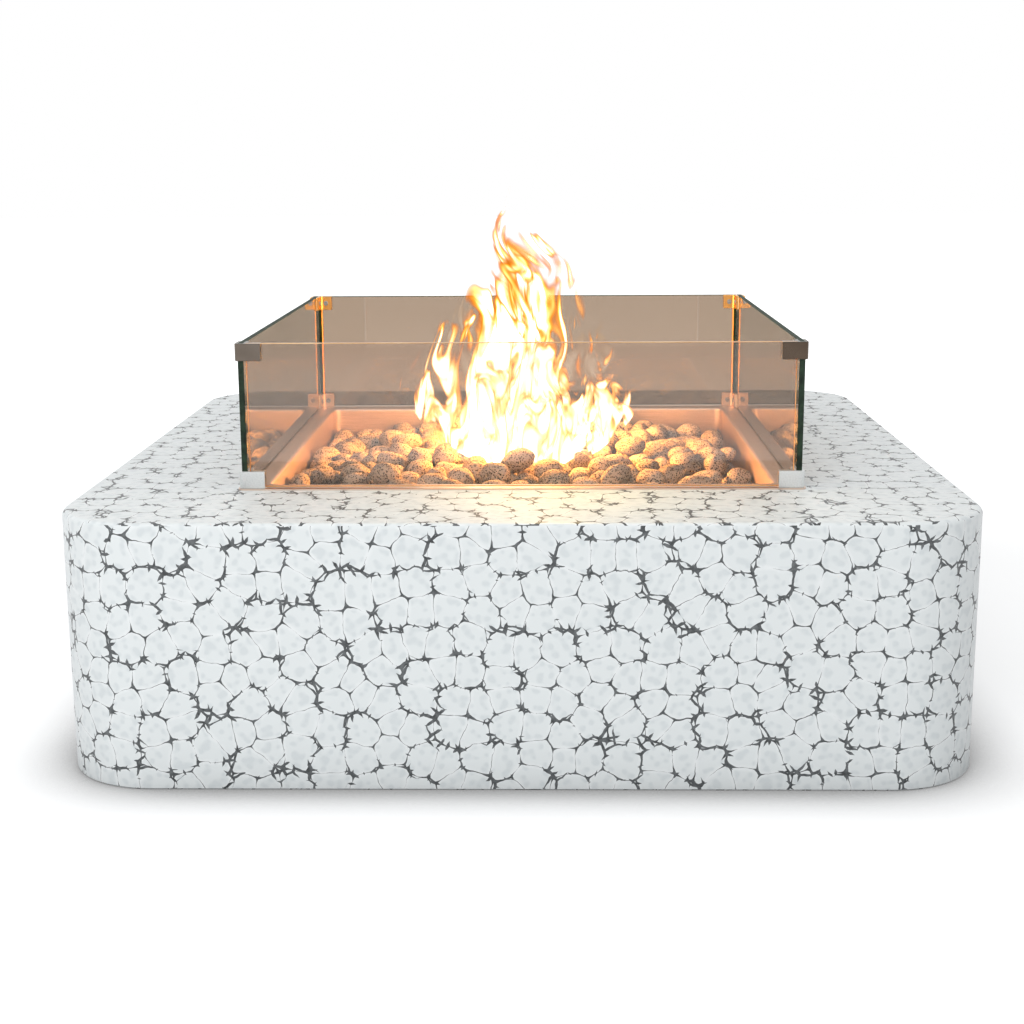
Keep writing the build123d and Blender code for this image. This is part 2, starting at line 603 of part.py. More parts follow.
def electrode_rod():
    """Wire rod that points at the burner ring."""
    return Pos(0, 0, BURNER_Z) * rod_x(SPARK_ROD_RADIUS, spark_tip(), spark_tip() + SPARK_ROD_LENGTH)


def electrode_insulator():
    """Ceramic sleeve that carries the rod."""
    start = spark_tip() + SPARK_ROD_LENGTH
    return Pos(0, 0, BURNER_Z) * rod_x(SPARK_INSULATOR_RADIUS, start, start + SPARK_INSULATOR_LENGTH)


def electrode_bracket():
    """Folded strip that stands on the pan floor and grips the insulator."""
    height = BURNER_LIFT + SPARK_INSULATOR_RADIUS + SPARK_ROOM
    upright = Box(SPARK_BRACKET_SHEET, SPARK_BRACKET_WIDTH, height, align=UP)
    upright -= Pos(0, 0, BURNER_LIFT) * rod_x(SPARK_INSULATOR_RADIUS + SEAT_CLEARANCE, -height, height)
    along = (Align.MIN, Align.CENTER, Align.MIN)
    foot = Box(SPARK_BRACKET_FOOT, SPARK_BRACKET_WIDTH, SPARK_BRACKET_SHEET, align=along)
    return Pos(spark_bracket_place(), 0, PAN_FLOOR) * (upright + foot)


def bed_side():
    """Side of the lava bed where it meets the pan walls."""
    return PAN_INSIDE - 2 * TOUCH_GAP


def lava_bed():
    """Low mound of granules on the pan floor, with room cut round the burner and the electrode."""
    side = bed_side()
    bed = slab(side, side, PAN_CORNER_RADIUS, BED_EDGE)
    low = Pos(0, 0, BED_EDGE) * RectangleRounded(side, side, PAN_CORNER_RADIUS)
    high = Pos(0, 0, BED_CROWN) * RectangleRounded(BED_PLATEAU, BED_PLATEAU, PAN_CORNER_RADIUS)
    bed += loft([low, high], ruled=True)
    channel_half = BURNER_TUBE_RADIUS + BED_ROOM
    channel_top = BURNER_LIFT + channel_half
    channel = Circle(BURNER_RING_RADIUS + channel_half) - Circle(BURNER_RING_RADIUS - channel_half)
    bed -= extrude(channel, channel_top)
    bed -= Box(2 * channel_half, 2 * BURNER_RING_RADIUS, channel_top, align=UP)
    hub_top = BURNER_LIFT + BURNER_TUBE_RADIUS + BURNER_HUB_CAP + BED_ROOM
    bed -= Cylinder(BURNER_HUB_RADIUS + BED_ROOM, hub_top, align=UP)
    spark_length = SPARK_GAP + SPARK_ROD_LENGTH + SPARK_INSULATOR_LENGTH + SPARK_ROOM
    spark_height = BURNER_LIFT + SPARK_INSULATOR_RADIUS + SPARK_ROOM + BED_ROOM
    spark_width = SPARK_BRACKET_WIDTH + 2 * BED_ROOM
    along = (Align.MIN, Align.CENTER, Align.MIN)
    spark_start = BURNER_RING_RADIUS + BURNER_TUBE_RADIUS
    bed -= Pos(spark_start, 0, 0) * Box(spark_length, spark_width, spark_height, align=along)
    return Pos(0, 0, PAN_FLOOR) * bed


def upward_directions(count):
    """Evenly spread unit vectors that point upwards."""
    index = np.arange(count) + 0.5
    height = index / count
    turn = GOLDEN_ANGLE * index
    reach = np.sqrt(1 - height ** 2)
    return np.stack([reach * np.cos(turn), reach * np.sin(turn), height], axis=1)


DIRECTION_COUNT = 220
DIRECTIONS = upward_directions(DIRECTION_COUNT)
PLANE_TRY_COUNT = 120
PLANE_ROUND_COUNT = 18
PLANE_FIRST_SPREAD = 0.1
PLANE_SHRINK = 1.5
PLANE_SPREADS = [PLANE_FIRST_SPREAD / PLANE_SHRINK ** step for step in range(PLANE_ROUND_COUNT)]


class Lump:
    """Convex lump: corners about its own middle, the place of that middle, and its extents."""

    def __init__(self, corners, place):
        self.corners = corners
        self.place = np.array(place)
        self.radius = np.hypot(corners[:, 0], corners[:, 1]).max()
        self.over = self.extent(DIRECTIONS)
        self.under = self.extent(-DIRECTIONS)

    def extent(self, directions):
        """Farthest reach from the middle along each direction."""
        return (self.corners @ np.transpose(directions)).max(axis=0)


def turn_matrix(axis, angle):
    """Rotation by an angle in radians about one of the three axes."""
    first, second = (axis + 1) % 3, (axis + 2) % 3
    matrix = np.eye(3)
    matrix[[first, second], [first, second]] = math.cos(angle)
    matrix[first, second] = -math.sin(angle)
    matrix[second, first] = math.sin(angle)
    return matrix


def new_stone(rng):
    """Tumbled stone of random size, flatness and tilt."""
    index = np.arange(STONE_CORNER_COUNT) + 0.5
    height = 1 - 2 * index / STONE_CORNER_COUNT
    reach = np.sqrt(1 - height ** 2)
    turn = GOLDEN_ANGLE * index
    corners = np.stack([reach * np.cos(turn), reach * np.sin(turn), height], axis=1)
    for axis in range(3):
        corners = corners @ turn_matrix(axis, rng.uniform(0, 2 * math.pi))
    corners *= 1 + STONE_ROUGHNESS * rng.uniform(-1, 1, (STONE_CORNER_COUNT, 1))
    width = rng.uniform(STONE_WIDTH_LOW, STONE_WIDTH_HIGH)
    flatness = rng.uniform(STONE_FLATNESS_LOW, STONE_FLATNESS_HIGH)
    corners *= rng.uniform(STONE_HALF_SMALL, STONE_HALF_LARGE) * np.array([1, width, flatness])
    tilt = math.radians(STONE_TILT)
    for axis, limit in enumerate((tilt, tilt, math.pi)):
        corners = corners @ turn_matrix(axis, rng.uniform(-limit, limit))
    return Lump(corners - corners.mean(axis=0), (0, 0, 0))


class Heap:
    """Lumps that lie where they came to rest, with the bed as the first of them."""

    def __init__(self, bed):
        self.lumps = []
        self.add(bed)

    def add(self, lump):
        """Leave a lump where it came to rest."""
        self.lumps.append(lump)
        self.places = np.array([each.place for each in self.lumps])
        self.radii = np.array([each.radius for each in self.lumps])

    def near(self, stone, x, y):
        """Numbers of the lumps that a stone at (x, y) could touch."""
        offsets = self.places[:, :2] - (x, y)
        return np.flatnonzero(np.hypot(*offsets.T) < self.radii + stone.radius)

    def clear_heights(self, stone, x, y):
        """Heights of a stone's middle at (x, y) at which a plane parts it from each lump near it."""
        near = self.near(stone, x, y)
        offsets = (x, y) - self.places[near, :2]
        over = np.array([self.lumps[index].over for index in near])
        rise = over + stone.under + STONE_GAP - offsets @ DIRECTIONS[:, :2].T
        return self.places[near, 2] + (rise / DIRECTIONS[:, 2]).min(axis=1)

    def resting_height(self, stone, x, y, rng):
        """Height at which a stone at (x, y) comes to rest, with each parting plane turned to its best."""
        heights = []
        for index in self.near(stone, x, y):
            lump = self.lumps[index]
            tilts = DIRECTIONS
            best = (math.inf, None)
            for spread in PLANE_SPREADS:
                rise = lump.extent(tilts) + stone.extent(-tilts) + STONE_GAP
                rise -= tilts[:, :2] @ ((x, y) - lump.place[:2])
                least = np.argmin(rise / tilts[:, 2])
                best = min(best, (rise[least] / tilts[least, 2], tuple(tilts[least])))
                tilts = best[1] + spread * rng.normal(size=(PLANE_TRY_COUNT, 3))
                tilts = tilts[tilts[:, 2] > 0]
                tilts /= np.linalg.norm(tilts, axis=1, keepdims=True)
            heights.append(lump.place[2] + best[0])
        return max(heights)


def in_pan_corner(stone, x, y):
    """Whether a stone at (x, y) would cut into one of the pan's rounded upright corners."""
    slope = math.sqrt(0.5)
    outward = [math.copysign(slope, x), math.copysign(slope, y), 0]
    limit = math.sqrt(2) * (bed_side() / 2 - PAN_CORNER_RADIUS) + PAN_CORNER_RADIUS - STONE_GAP
    return slope * (abs(x) + abs(y)) + stone.extent(outward) > limit


def settle(stone, heap, spread, rng):
    """Drop a stone where it sinks nearest to the bed, by tries and nudges; returns how high it perches."""
    sides = [[1, 0, 0], [0, 1, 0], [-1, 0, 0], [0, -1, 0]]
    reach = stone.extent(sides).reshape(2, 2).max(axis=0)
    room = np.minimum(bed_side() / 2 - STONE_GAP - reach, spread)
    best = (math.inf, 0.0, 0.0)
    for attempt in range(STONE_TRY_COUNT + STONE_NUDGE_COUNT):
        if attempt < STONE_TRY_COUNT:
            x, y = rng.uniform(-room, room)
        else:
            fade = 1 - (attempt - STONE_TRY_COUNT) / STONE_NUDGE_COUNT
            nudge = rng.uniform(-STONE_NUDGE_REACH, STONE_NUDGE_REACH, 2) * fade
            x, y = np.clip(best[1:] + nudge, -room, room)
        if not in_pan_corner(stone, x, y):
            heights = heap.clear_heights(stone, x, y)
            best = min(best, (heights.max() - heights[0], x, y))
    perch, x, y = best
    stone.place = np.array([x, y, heap.resting_height(stone, x, y, rng)])
    return perch


def lava_stones():
    """One close layer of stones on the bed and a loose second layer over the burner."""
    rng = np.random.default_rng(STONE_SEED)
    mound = []
    for half, height in ((bed_side() / 2, BED_EDGE), (BED_PLATEAU / 2, BED_CROWN)):
        mound += [(sx * half, sy * half, height) for sx in (-1, 1) for sy in (-1, 1)]
    heap = Heap(Lump(np.array(mound), (0, 0, PAN_FLOOR)))
    misses = 0
    while misses < STONE_MISS_COUNT:
        stone = new_stone(rng)
        if settle(stone, heap, PAN_INSIDE, rng) < STONE_PERCH:
            heap.add(stone)
        else:
            misses += 1
    for _ in range(STONE_CROWN_COUNT):
        stone = new_stone(rng)
        settle(stone, heap, STONE_CROWN_SPREAD, rng)
        heap.add(stone)
    stones = heap.lumps[1:]
    solids = [ConvexPolyhedron((stone.corners + stone.place).tolist()).solid() for stone in stones]
    print(f"lava stones: {len(solids)}")
    return Compound(children=solids)


def at_corner(turn, height, shape):
    """Place a guard corner piece, modelled with its outer corner at the origin and legs on +X and +Y.

    The side pane lies in the leg on +Y, so the front right and rear left corners take the mirror image.
    """
    if turn % 180:
        shape = mirror(shape, about=DIAGONAL)
    return Rot(Z=turn) * (Pos(-GUARD_HALF, -GUARD_HALF, height) * shape)


def screw_along():
    """Distance of a clip screw from the clip's outer corner."""
    return (CLIP_THICKNESS + CLIP_LEG) / 2


def corner_clip(slot_foot):
    """L-shaped clip with a slot for a pane in each leg and a screw hole in each inner plate."""
    start = (Align.MIN, Align.MIN)
    outline = Rectangle(CLIP_LEG, CLIP_THICKNESS, align=start)
    outline += Rectangle(CLIP_THICKNESS, CLIP_LEG, align=start)
    outline = fillet(outline.vertices().sort_by_distance((0, 0))[0], CLIP_CORNER_RADIUS)
    inner = outline.vertices().sort_by_distance((CLIP_THICKNESS, CLIP_THICKNESS))[0]
    outline = fillet(inner, CLIP_INNER_RADIUS)
    clip = extrude(outline, CLIP_HEIGHT)
    levels = clip.edges().group_by(Axis.Z)
    clip = chamfer(levels[0] + levels[-1], CLIP_EASE)
    corner = (Align.MIN, Align.MIN, Align.MIN)
    slot = Box(CLIP_LEG, CLIP_SLOT, 2 * CLIP_HEIGHT, align=corner)
    clip -= Pos(CLIP_BUTT, CLIP_WALL, slot_foot) * slot
    clip -= mirror(Pos(CLIP_WALL, CLIP_WALL, slot_foot) * slot, about=DIAGONAL)
    hole_radius = CLIP_SCREW_RADIUS + SEAT_CLEARANCE
    hole_start = CLIP_THICKNESS - CLIP_WALL - CLIP_SLOT / 2
    clip -= Pos(screw_along(), 0, CLIP_HEIGHT / 2) * rod_y(hole_radius, hole_start, CLIP_LEG)
    clip -= Pos(0, screw_along(), CLIP_HEIGHT / 2) * rod_x(hole_radius, hole_start, CLIP_LEG)
    return clip


def clip_screws():
    """Two clamp screws on the inner plates of every clip."""
    screw = pan_head_screw(CLIP_SCREW_HEAD_RADIUS, CLIP_SCREW_HEAD, CLIP_SCREW_RADIUS, CLIP_WALL)
    middle = CLIP_HEIGHT / 2
    pair = [Pos(screw_along(), CLIP_THICKNESS, middle) * Rot(X=-90) * screw]
    pair.append(Pos(CLIP_THICKNESS, screw_along(), middle) * Rot(Y=90) * screw)
    places = [(turn, height) for turn in GUARD_CORNERS.values() for height in CLIP_LEVELS.values()]
    return Compound(children=[at_corner(turn, height, part) for turn, height in places for part in pair])


def slot_pad(start, foot):
    """Liner round the end of a pane in the slot of a clip's first leg."""
    corner = (Align.MIN, Align.MIN, Align.MIN)
    pad = Box(CLIP_LEG - start, CLIP_SLOT, CLIP_HEIGHT - foot, align=corner)
    pane = Box(CLIP_LEG, GLASS_THICKNESS, 4 * CLIP_HEIGHT, align=(Align.MIN, Align.MIN, Align.CENTER))
    return Pos(start, CLIP_WALL, foot) * (pad - Pos(CLIP_PAD, CLIP_PAD, 0) * pane)


def clip_pads():
    """Thin liner round the end of each pane inside each clip slot."""
    pads = []
    for level, height in CLIP_LEVELS.items():
        foot = CLIP_SLOT_FEET[level]
        both = [slot_pad(CLIP_BUTT, foot), mirror(slot_pad(CLIP_WALL, foot), about=DIAGONAL)]
        pads += [at_corner(turn, height, pad) for turn in GUARD_CORNERS.values() for pad in both]
    return Compound(children=pads)


def glass_pane(turn):
    """Pane with ground edges that stands in two lower clips; the side panes run past the other two."""
    end = CLIP_WALL if turn % 180 else CLIP_BUTT
    pane = Box(2 * (GUARD_HALF - end - CLIP_PAD), GLASS_THICKNESS, GLASS_HEIGHT, align=UP)
    pane = chamfer(pane.edges(), GLASS_EDGE_CHAMFER)
    return Rot(Z=turn) * (Pos(0, -GLASS_OFFSET, GLASS_FOOT) * pane)


def with_louvres(panel, count, length, sheet):
    """Cut slots through a sheet on Z = 0 and hang an inward blade from the top edge of each."""
    for row in range(count):
        middle = (row - (count - 1) / 2) * LOUVRE_PITCH
        top = middle + LOUVRE_OPENING / 2
        panel -= Pos(0, middle, 0) * Box(length, LOUVRE_OPENING, 4 * sheet)
        root = top + sheet / 2
        tip = top - LOUVRE_DROP
        back = [(tip, -LOUVRE_REACH), (top, 0), (root, 0)]
        front = [(root, sheet), (top, sheet), (tip, sheet - LOUVRE_REACH)]
        blade = Plane.YZ * make_face(Polyline(*back, *front, close=True))
        panel += extrude(blade, length / 2, both=True)
    return panel


def vent_grille(wall):
    """Louvred plate over a vent window in a side wall."""
    plate = slab(VENT_WIDTH, VENT_HEIGHT, VENT_CORNER, VENT_SHEET)
    plate = with_louvres(plate, VENT_LOUVRES, VENT_LOUVRE_LENGTH, VENT_SHEET)
    for hole in wall_screw_holes(VENT_WIDTH, VENT_HEIGHT):
        plate -= hole
    return wall * (Pos(0, VENT_MIDDLE, 0) * plate)


def vent_screws():
    """Wall screws of both vent grilles."""
    place = Pos(0, VENT_MIDDLE, 0)
    screws = wall_screws(VENT_SHEET, VENT_WIDTH, VENT_HEIGHT)
    return Compound(children=[wall * (place * screw) for wall in (LEFT_WALL, RIGHT_WALL) for screw in screws])


def at_door(shape):
    """Place a door piece that is modelled about the middle of the doorway on the wall's face."""
    return REAR_WALL * (Pos(DOOR_U, DOOR_V, 0) * shape)


def door_frame():
    """Flange on the wall's face with a sleeve through the wall."""
    sleeve_depth = BODY_WALL + DOOR_SLEEVE_TAIL
    frame = slab(FRAME_WIDTH, FRAME_HEIGHT, DOOR_FLANGE_CORNER, DOOR_SHEET)
    frame += Box(SLEEVE_WIDTH, SLEEVE_HEIGHT, sleeve_depth, align=DOWN)
    frame -= Box(DOORWAY_WIDTH, DOORWAY_HEIGHT, 4 * sleeve_depth)
    for hole in wall_screw_holes(FRAME_WIDTH, FRAME_HEIGHT):
        frame -= hole
    return at_door(frame)


def door_frame_screws():
    """Four wall screws of the door frame."""
    return Compound(children=[at_door(screw) for screw in wall_screws(DOOR_SHEET, FRAME_WIDTH, FRAME_HEIGHT)])


def knob_place(shape):
    """Place a piece of the knob near the door's free edge."""
    return Pos(DOOR_WIDTH / 2 - KNOB_INSET, 0, 0) * shape


def door_panel():
    """Folded sheet door with returned edges, an inner lip and louvres."""
    panel = Box(DOOR_WIDTH, DOOR_HEIGHT, DOOR_DEPTH, align=DOWN)
    panel += Box(DOOR_WIDTH, DOOR_HEIGHT, DOOR_SHEET, align=UP)
    inner_width = DOOR_WIDTH - 2 * DOOR_SHEET
    inner_height = DOOR_HEIGHT - 2 * DOOR_SHEET
    panel -= Box(inner_width, inner_height, DOOR_DEPTH - DOOR_SHEET, align=DOWN)
    panel -= Box(DOOR_WIDTH - 2 * DOOR_LIP, DOOR_HEIGHT - 2 * DOOR_LIP, 2 * DOOR_DEPTH, align=DOWN)
    panel = with_louvres(panel, DOOR_LOUVRES, DOOR_LOUVRE_LENGTH, DOOR_SHEET)
    panel -= knob_place(Cylinder(KNOB_STUD_RADIUS + SEAT_CLEARANCE, 4 * DOOR_SHEET))
    return at_door(panel)


def door_knob():
    """Low mushroom knob with a stud through the door's face."""
    head = Pos(0, 0, KNOB_NECK) * Cylinder(KNOB_RADIUS, KNOB_HEAD, align=UP)
    knob = fillet(head.edges().group_by(Axis.Z)[-1], KNOB_HEAD / 2)
    knob += Cylinder(KNOB_NECK_RADIUS, KNOB_NECK, align=UP)
    knob += Cylinder(KNOB_STUD_RADIUS, DOOR_SHEET + KNOB_NUT_HEIGHT, align=DOWN)
    return at_door(knob_place(Pos(0, 0, DOOR_SHEET) * knob))


def door_knob_nut():
    """Nut on the knob's stud behind the door's face."""
    nut = hex_nut(KNOB_NUT_FLATS, KNOB_NUT_HEIGHT, KNOB_STUD_RADIUS + SEAT_CLEARANCE)
    return at_door(knob_place(Pos(0, 0, -KNOB_NUT_HEIGHT) * nut))


def magnet_catch():
    """Magnet block on the sleeve's free side, behind the door's lip."""
    align = (Align.MAX, Align.CENTER, Align.MAX)
    block = Box(MAGNET_WIDTH, MAGNET_HEIGHT, MAGNET_DEPTH, align=align)
    return at_door(Pos(DOORWAY_WIDTH / 2, 0, -DOOR_DEPTH - TOUCH_GAP) * block)


def at_hinges(shape):
    """Place a hinge piece, modelled on its own axis with the leaf's back on Z = 0, at both hinges."""
    places = [Pos(HINGE_U - DOOR_U, side * HINGE_SPREAD / 2, DOOR_SHEET) for side in (-1, 1)]
    return Compound(children=[at_door(place * shape) for place in places])


def hinge_leaf(side, rows):
    """Leaf that reaches to one side of the hinge axis, with a knuckle in each of the given rows."""
    pitch = HINGE_HEIGHT / HINGE_KNUCKLE_COUNT
    knuckle = pitch - HINGE_GAP
    align = (Align.MIN if side > 0 else Align.MAX, Align.CENTER, Align.MIN)
    bridge = HINGE_BARREL_RADIUS + HINGE_GAP
    leaf = Pos(side * bridge, 0, 0) * Box(HINGE_LEAF_REACH - bridge, HINGE_HEIGHT, HINGE_LEAF, align=align)
    for row in rows:
        barrel = Pos(0, 0, HINGE_BARREL_RADIUS) * rod_y(HINGE_BARREL_RADIUS, -knuckle / 2, knuckle / 2)
        barrel += Box(bridge, knuckle, HINGE_LEAF, align=align)
        leaf += Pos(0, row * pitch, 0) * barrel
    bore = rod_y(HINGE_PIN_RADIUS + RUNNING_CLEARANCE, -HINGE_HEIGHT, HINGE_HEIGHT)
    return leaf - Pos(0, 0, HINGE_BARREL_RADIUS) * bore


def hinge_pin():
    """Headed pin through the three knuckles of a hinge."""
    half = HINGE_HEIGHT / 2
    pin = rod_y(HINGE_PIN_RADIUS, -half, half)
    pin += rod_y(HINGE_PIN_HEAD_RADIUS, half - HINGE_GAP / 2, half + HINGE_PIN_HEAD)
    return Pos(0, 0, HINGE_BARREL_RADIUS) * pin


GUARD_CORNERS = {"front_left": 0, "front_right": 90, "rear_right": 180, "rear_left": 270}
GUARD_SIDES = {"front": 0, "right": 90, "rear": 180, "left": 270}
CLIP_LEVELS = {"lower": RIM, "upper": GUARD_TOP - CLIP_HEIGHT}
CLIP_SLOT_FEET = {"lower": CLIP_FLOOR, "upper": 0.0}


def pieces():
    """Every piece of the fire pit under its node name."""
    named = {
        "body_casting": body_casting(),
        "burner_pan": burner_pan(),
        "burner_ring": burner_ring(),
        "burner_washer": burner_washer(),
        "burner_locknut": burner_locknut(),
        "air_mixer": air_mixer(),
        "gas_feed_pipe": gas_feed_pipe(),
        "pipe_nuts": pipe_nuts(),
        "valve_body": valve_body(),
        "valve_inlet_coupling": valve_inlet_coupling(),
        "valve_ball": valve_ball(),
        "valve_seats": valve_seats(),
        "valve_stem": valve_stem(),
        "valve_jam_nut": valve_jam_nut(),
        "valve_escutcheon": valve_escutcheon(),
        "control_plate": control_plate(),
        "control_plate_screws": control_plate_screws(),
        "igniter_module": igniter_module(),
        "igniter_nut": igniter_nut(),
        "igniter_button": igniter_button(),
        "electrode_rod": electrode_rod(),
        "electrode_insulator": electrode_insulator(),
        "electrode_bracket": electrode_bracket(),
        "lava_bed": lava_bed(),
        "lava_stones": lava_stones(),
        "vent_grille_left": vent_grille(LEFT_WALL),
        "vent_grille_right": vent_grille(RIGHT_WALL),
        "vent_screws": vent_screws(),
        "door_frame": door_frame(),
        "door_frame_screws": door_frame_screws(),
        "door_panel": door_panel(),
        "door_knob": door_knob(),
        "door_knob_nut": door_knob_nut(),
        "magnet_catch": magnet_catch(),
        "hinge_frame_leaves": at_hinges(hinge_leaf(-1, (-1, 1))),
        "hinge_door_leaves": at_hinges(hinge_leaf(1, (0,))),
        "hinge_pins": at_hinges(hinge_pin()),
        "clip_screws": clip_screws(),
        "clip_pads": clip_pads(),
    }
    for side, turn in GUARD_SIDES.items():
        named[f"glass_{side}"] = glass_pane(turn)
    for level, height in CLIP_LEVELS.items():
        clip = corner_clip(CLIP_SLOT_FEET[level])
        for corner, turn in GUARD_CORNERS.items():
            named[f"clip_{level}_{corner}"] = at_corner(turn, height, clip)
    return named


def main():
    """Write one STEP file for each piece."""
    os.makedirs("parts", exist_ok=True)
    for name, shape in pieces().items():
        export_step(shape, f"parts/{name}.step")


main()
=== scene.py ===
"""Looks of a square cast fire pit with a glass wind guard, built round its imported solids."""

import json
import logging
import math
from dataclasses import dataclass, field
from enum import Enum, IntEnum
from typing import Any, ClassVar

import bmesh
import bpy
from mathutils import Matrix, Vector

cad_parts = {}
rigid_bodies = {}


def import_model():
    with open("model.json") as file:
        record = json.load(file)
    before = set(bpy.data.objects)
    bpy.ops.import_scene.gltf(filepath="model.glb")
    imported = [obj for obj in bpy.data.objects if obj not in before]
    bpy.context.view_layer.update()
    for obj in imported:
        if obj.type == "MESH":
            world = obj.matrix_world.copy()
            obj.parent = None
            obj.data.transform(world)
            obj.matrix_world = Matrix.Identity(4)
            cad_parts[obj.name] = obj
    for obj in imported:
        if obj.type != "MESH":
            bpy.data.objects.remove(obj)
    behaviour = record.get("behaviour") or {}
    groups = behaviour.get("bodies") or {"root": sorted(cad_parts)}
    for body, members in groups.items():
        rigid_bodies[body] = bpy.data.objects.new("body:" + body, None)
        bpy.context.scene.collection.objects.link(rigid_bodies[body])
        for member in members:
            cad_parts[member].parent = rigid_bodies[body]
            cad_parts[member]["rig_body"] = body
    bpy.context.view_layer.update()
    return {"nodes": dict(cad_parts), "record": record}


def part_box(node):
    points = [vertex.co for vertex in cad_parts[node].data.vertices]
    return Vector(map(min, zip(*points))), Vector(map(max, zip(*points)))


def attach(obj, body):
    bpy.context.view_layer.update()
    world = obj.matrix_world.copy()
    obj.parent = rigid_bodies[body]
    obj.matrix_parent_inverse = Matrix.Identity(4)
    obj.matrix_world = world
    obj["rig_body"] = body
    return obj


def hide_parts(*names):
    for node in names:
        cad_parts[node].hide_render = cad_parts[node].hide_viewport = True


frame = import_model()
LOG = logging.getLogger("fire_pit")
MM = 0.001
MERGE_MM = 0.01
TINY = 1e-6
WRAP = "wrap"
WHITE = (1.0, 1.0, 1.0, 1.0)
BLACK = (0.0, 0.0, 0.0, 1.0)

Colour = tuple[float, float, float, float]
Node = bpy.types.Node
Place = tuple[float, float, float]
Span = tuple[float, float]
Stops = list[tuple[float, str]]
Tree = bpy.types.NodeTree


def linear(code: str) -> Colour:
    """Turns an sRGB hex colour into linear values.

    Args:
        code: Six hex digits.

    Returns:
        Red, green, blue and an alpha of one.
    """
    parts = [int(code[index:index + 2], 16) / 255 for index in (0, 2, 4)]
    lit = [part / 12.92 if part <= 0.04045 else ((part + 0.055) / 1.055) ** 2.4 for part in parts]
    return (*lit, 1.0)


def per_metre(size_mm: float) -> float:
    """Gives the texture scale at which one feature of a pattern is size_mm wide."""
    return 1 / (size_mm * MM)


def add(tree: Tree, kind: str, inputs: dict[Any, Any] | None = None, stops: Stops | None = None,
        **settings: Any) -> Node:
    """Adds a node with its settings, socket values, links and colour stops.

    Args:
        tree: Node tree that gets the node.
        kind: The node's type name.
        inputs: Socket name or number to a value, or to the output that feeds it. A node stands for its
            first output.
        stops: Positions from 0 to 1 on the node's colour ramp, each with a hex colour.
        **settings: Properties of the node.

    Returns:
        The new node.
    """
    node = tree.nodes.new(kind)
    for name, value in settings.items():
        setattr(node, name, value)
    for name, value in (inputs or {}).items():
        source = value.outputs[0] if isinstance(value, Node) else value
        if isinstance(source, bpy.types.NodeSocket):
            tree.links.new(source, node.inputs[name])
        else:
            node.inputs[name].default_value = source
    for position, _ in (stops or [])[1:-1]:
        node.color_ramp.elements.new(position)
    for index, (position, code) in enumerate(stops or []):
        node.color_ramp.elements[index].position = position
        node.color_ramp.elements[index].color = linear(code)
    return node


class Reach(Enum):
    """Which pieces a lamp lights."""

    ONLY = "INCLUDE"
    ALL_BUT = "EXCLUDE"


class PaneFace(IntEnum):
    """Faces of a pane that have a finish of their own, in the order of its finishes."""

    SHEET = 0
    RIM = 1
    # Painted highlight line at the rear pane's ends.
    LIT = 2


@dataclass(frozen=True)
class Finish:
    """A finish with a faint mottle of its colour and roughness.

    The mottle stands for handling marks and moulding or rolling variation, which keep a surface from
    looking like one flat colour.
    """

    name: str
    colour: str
    shade: str
    roughness: float = 0.4
    metallic: float = 0.0
    grain_mm: float = 6.0
    bump_mm: float = 0.02
    pattern_span: ClassVar[Span] = (0.3, 0.7)
    roughness_swing: ClassVar[Span] = (1.2, 0.85)

    def material(self) -> bpy.types.Material:
        """Builds the finish once and gives it again when it is asked for again.

        Returns:
            The material, with one shader on its surface.
        """
        material = bpy.data.materials.get(self.name)
        if material:
            return material
        material = bpy.data.materials.new(self.name)
        material.use_nodes = True
        tree = material.node_tree
        shader = tree.nodes["Principled BSDF"]
        shader.inputs["Metallic"].default_value = self.metallic
        shader.inputs["Roughness"].default_value = self.roughness
        self.detail(tree, shader)
        return material

    def detail(self, tree: Tree, shader: Node) -> None:
        """Adds the finish's own pattern.

        Args:
            tree: Node tree of the material.
            shader: The surface shader.
        """
        place = add(tree, "ShaderNodeTexCoord").outputs["Object"]
        mottle = add(tree, "ShaderNodeTexNoise",
                     {"Vector": place, "Scale": per_metre(self.grain_mm), "Detail": 3.0})
        self.dress(tree, shader, mottle)

    def dress(self, tree: Tree, shader: Node, pattern: Node) -> None:
        """Drives colour, roughness and bump from one pattern.

        Args:
            tree: Node tree of the material.
            shader: The surface shader.
            pattern: Node that gives the pattern, from 0 to 1.
        """
        low, high = self.pattern_span
        dull, keen = (self.roughness * swing for swing in self.roughness_swing)
        tint = add(tree, "ShaderNodeValToRGB", {"Fac": pattern}, [(low, self.shade), (high, self.colour)])
        rough = add(tree, "ShaderNodeMapRange",
                    {"Value": pattern, "From Min": low, "From Max": high, "To Min": dull, "To Max": keen})
        bump = add(tree, "ShaderNodeBump", {"Height": pattern, "Distance": self.bump_mm * MM})
        tree.links.new(tint.outputs["Color"], shader.inputs["Base Color"])
        tree.links.new(rough.outputs["Result"], shader.inputs["Roughness"])
        tree.links.new(bump.outputs["Normal"], shader.inputs["Normal"])


@dataclass(frozen=True)
class BrushedSheet(Finish):
    """Brushed stainless sheet, whose long fine scratches stretch every reflection across their run.

    Real scratches are about 0.1 mm wide, so they are drawn coarser to show. They run along x.
    """

    run: Place = (0.04, 1.0, 1.0)

    def detail(self, tree: Tree, shader: Node) -> None:
        """Adds the brush marks along their run.

        Args:
            tree: Node tree of the material.
            shader: The surface shader.
        """
        place = add(tree, "ShaderNodeTexCoord").outputs["Object"]
        drawn = add(tree, "ShaderNodeMapping", {"Vector": place, "Scale": self.run})
        marks = add(tree, "ShaderNodeTexNoise", {"Vector": drawn, "Scale": per_metre(self.grain_mm),
                                                 "Detail": 4.0, "Roughness": 0.65})
        self.dress(tree, shader, marks)


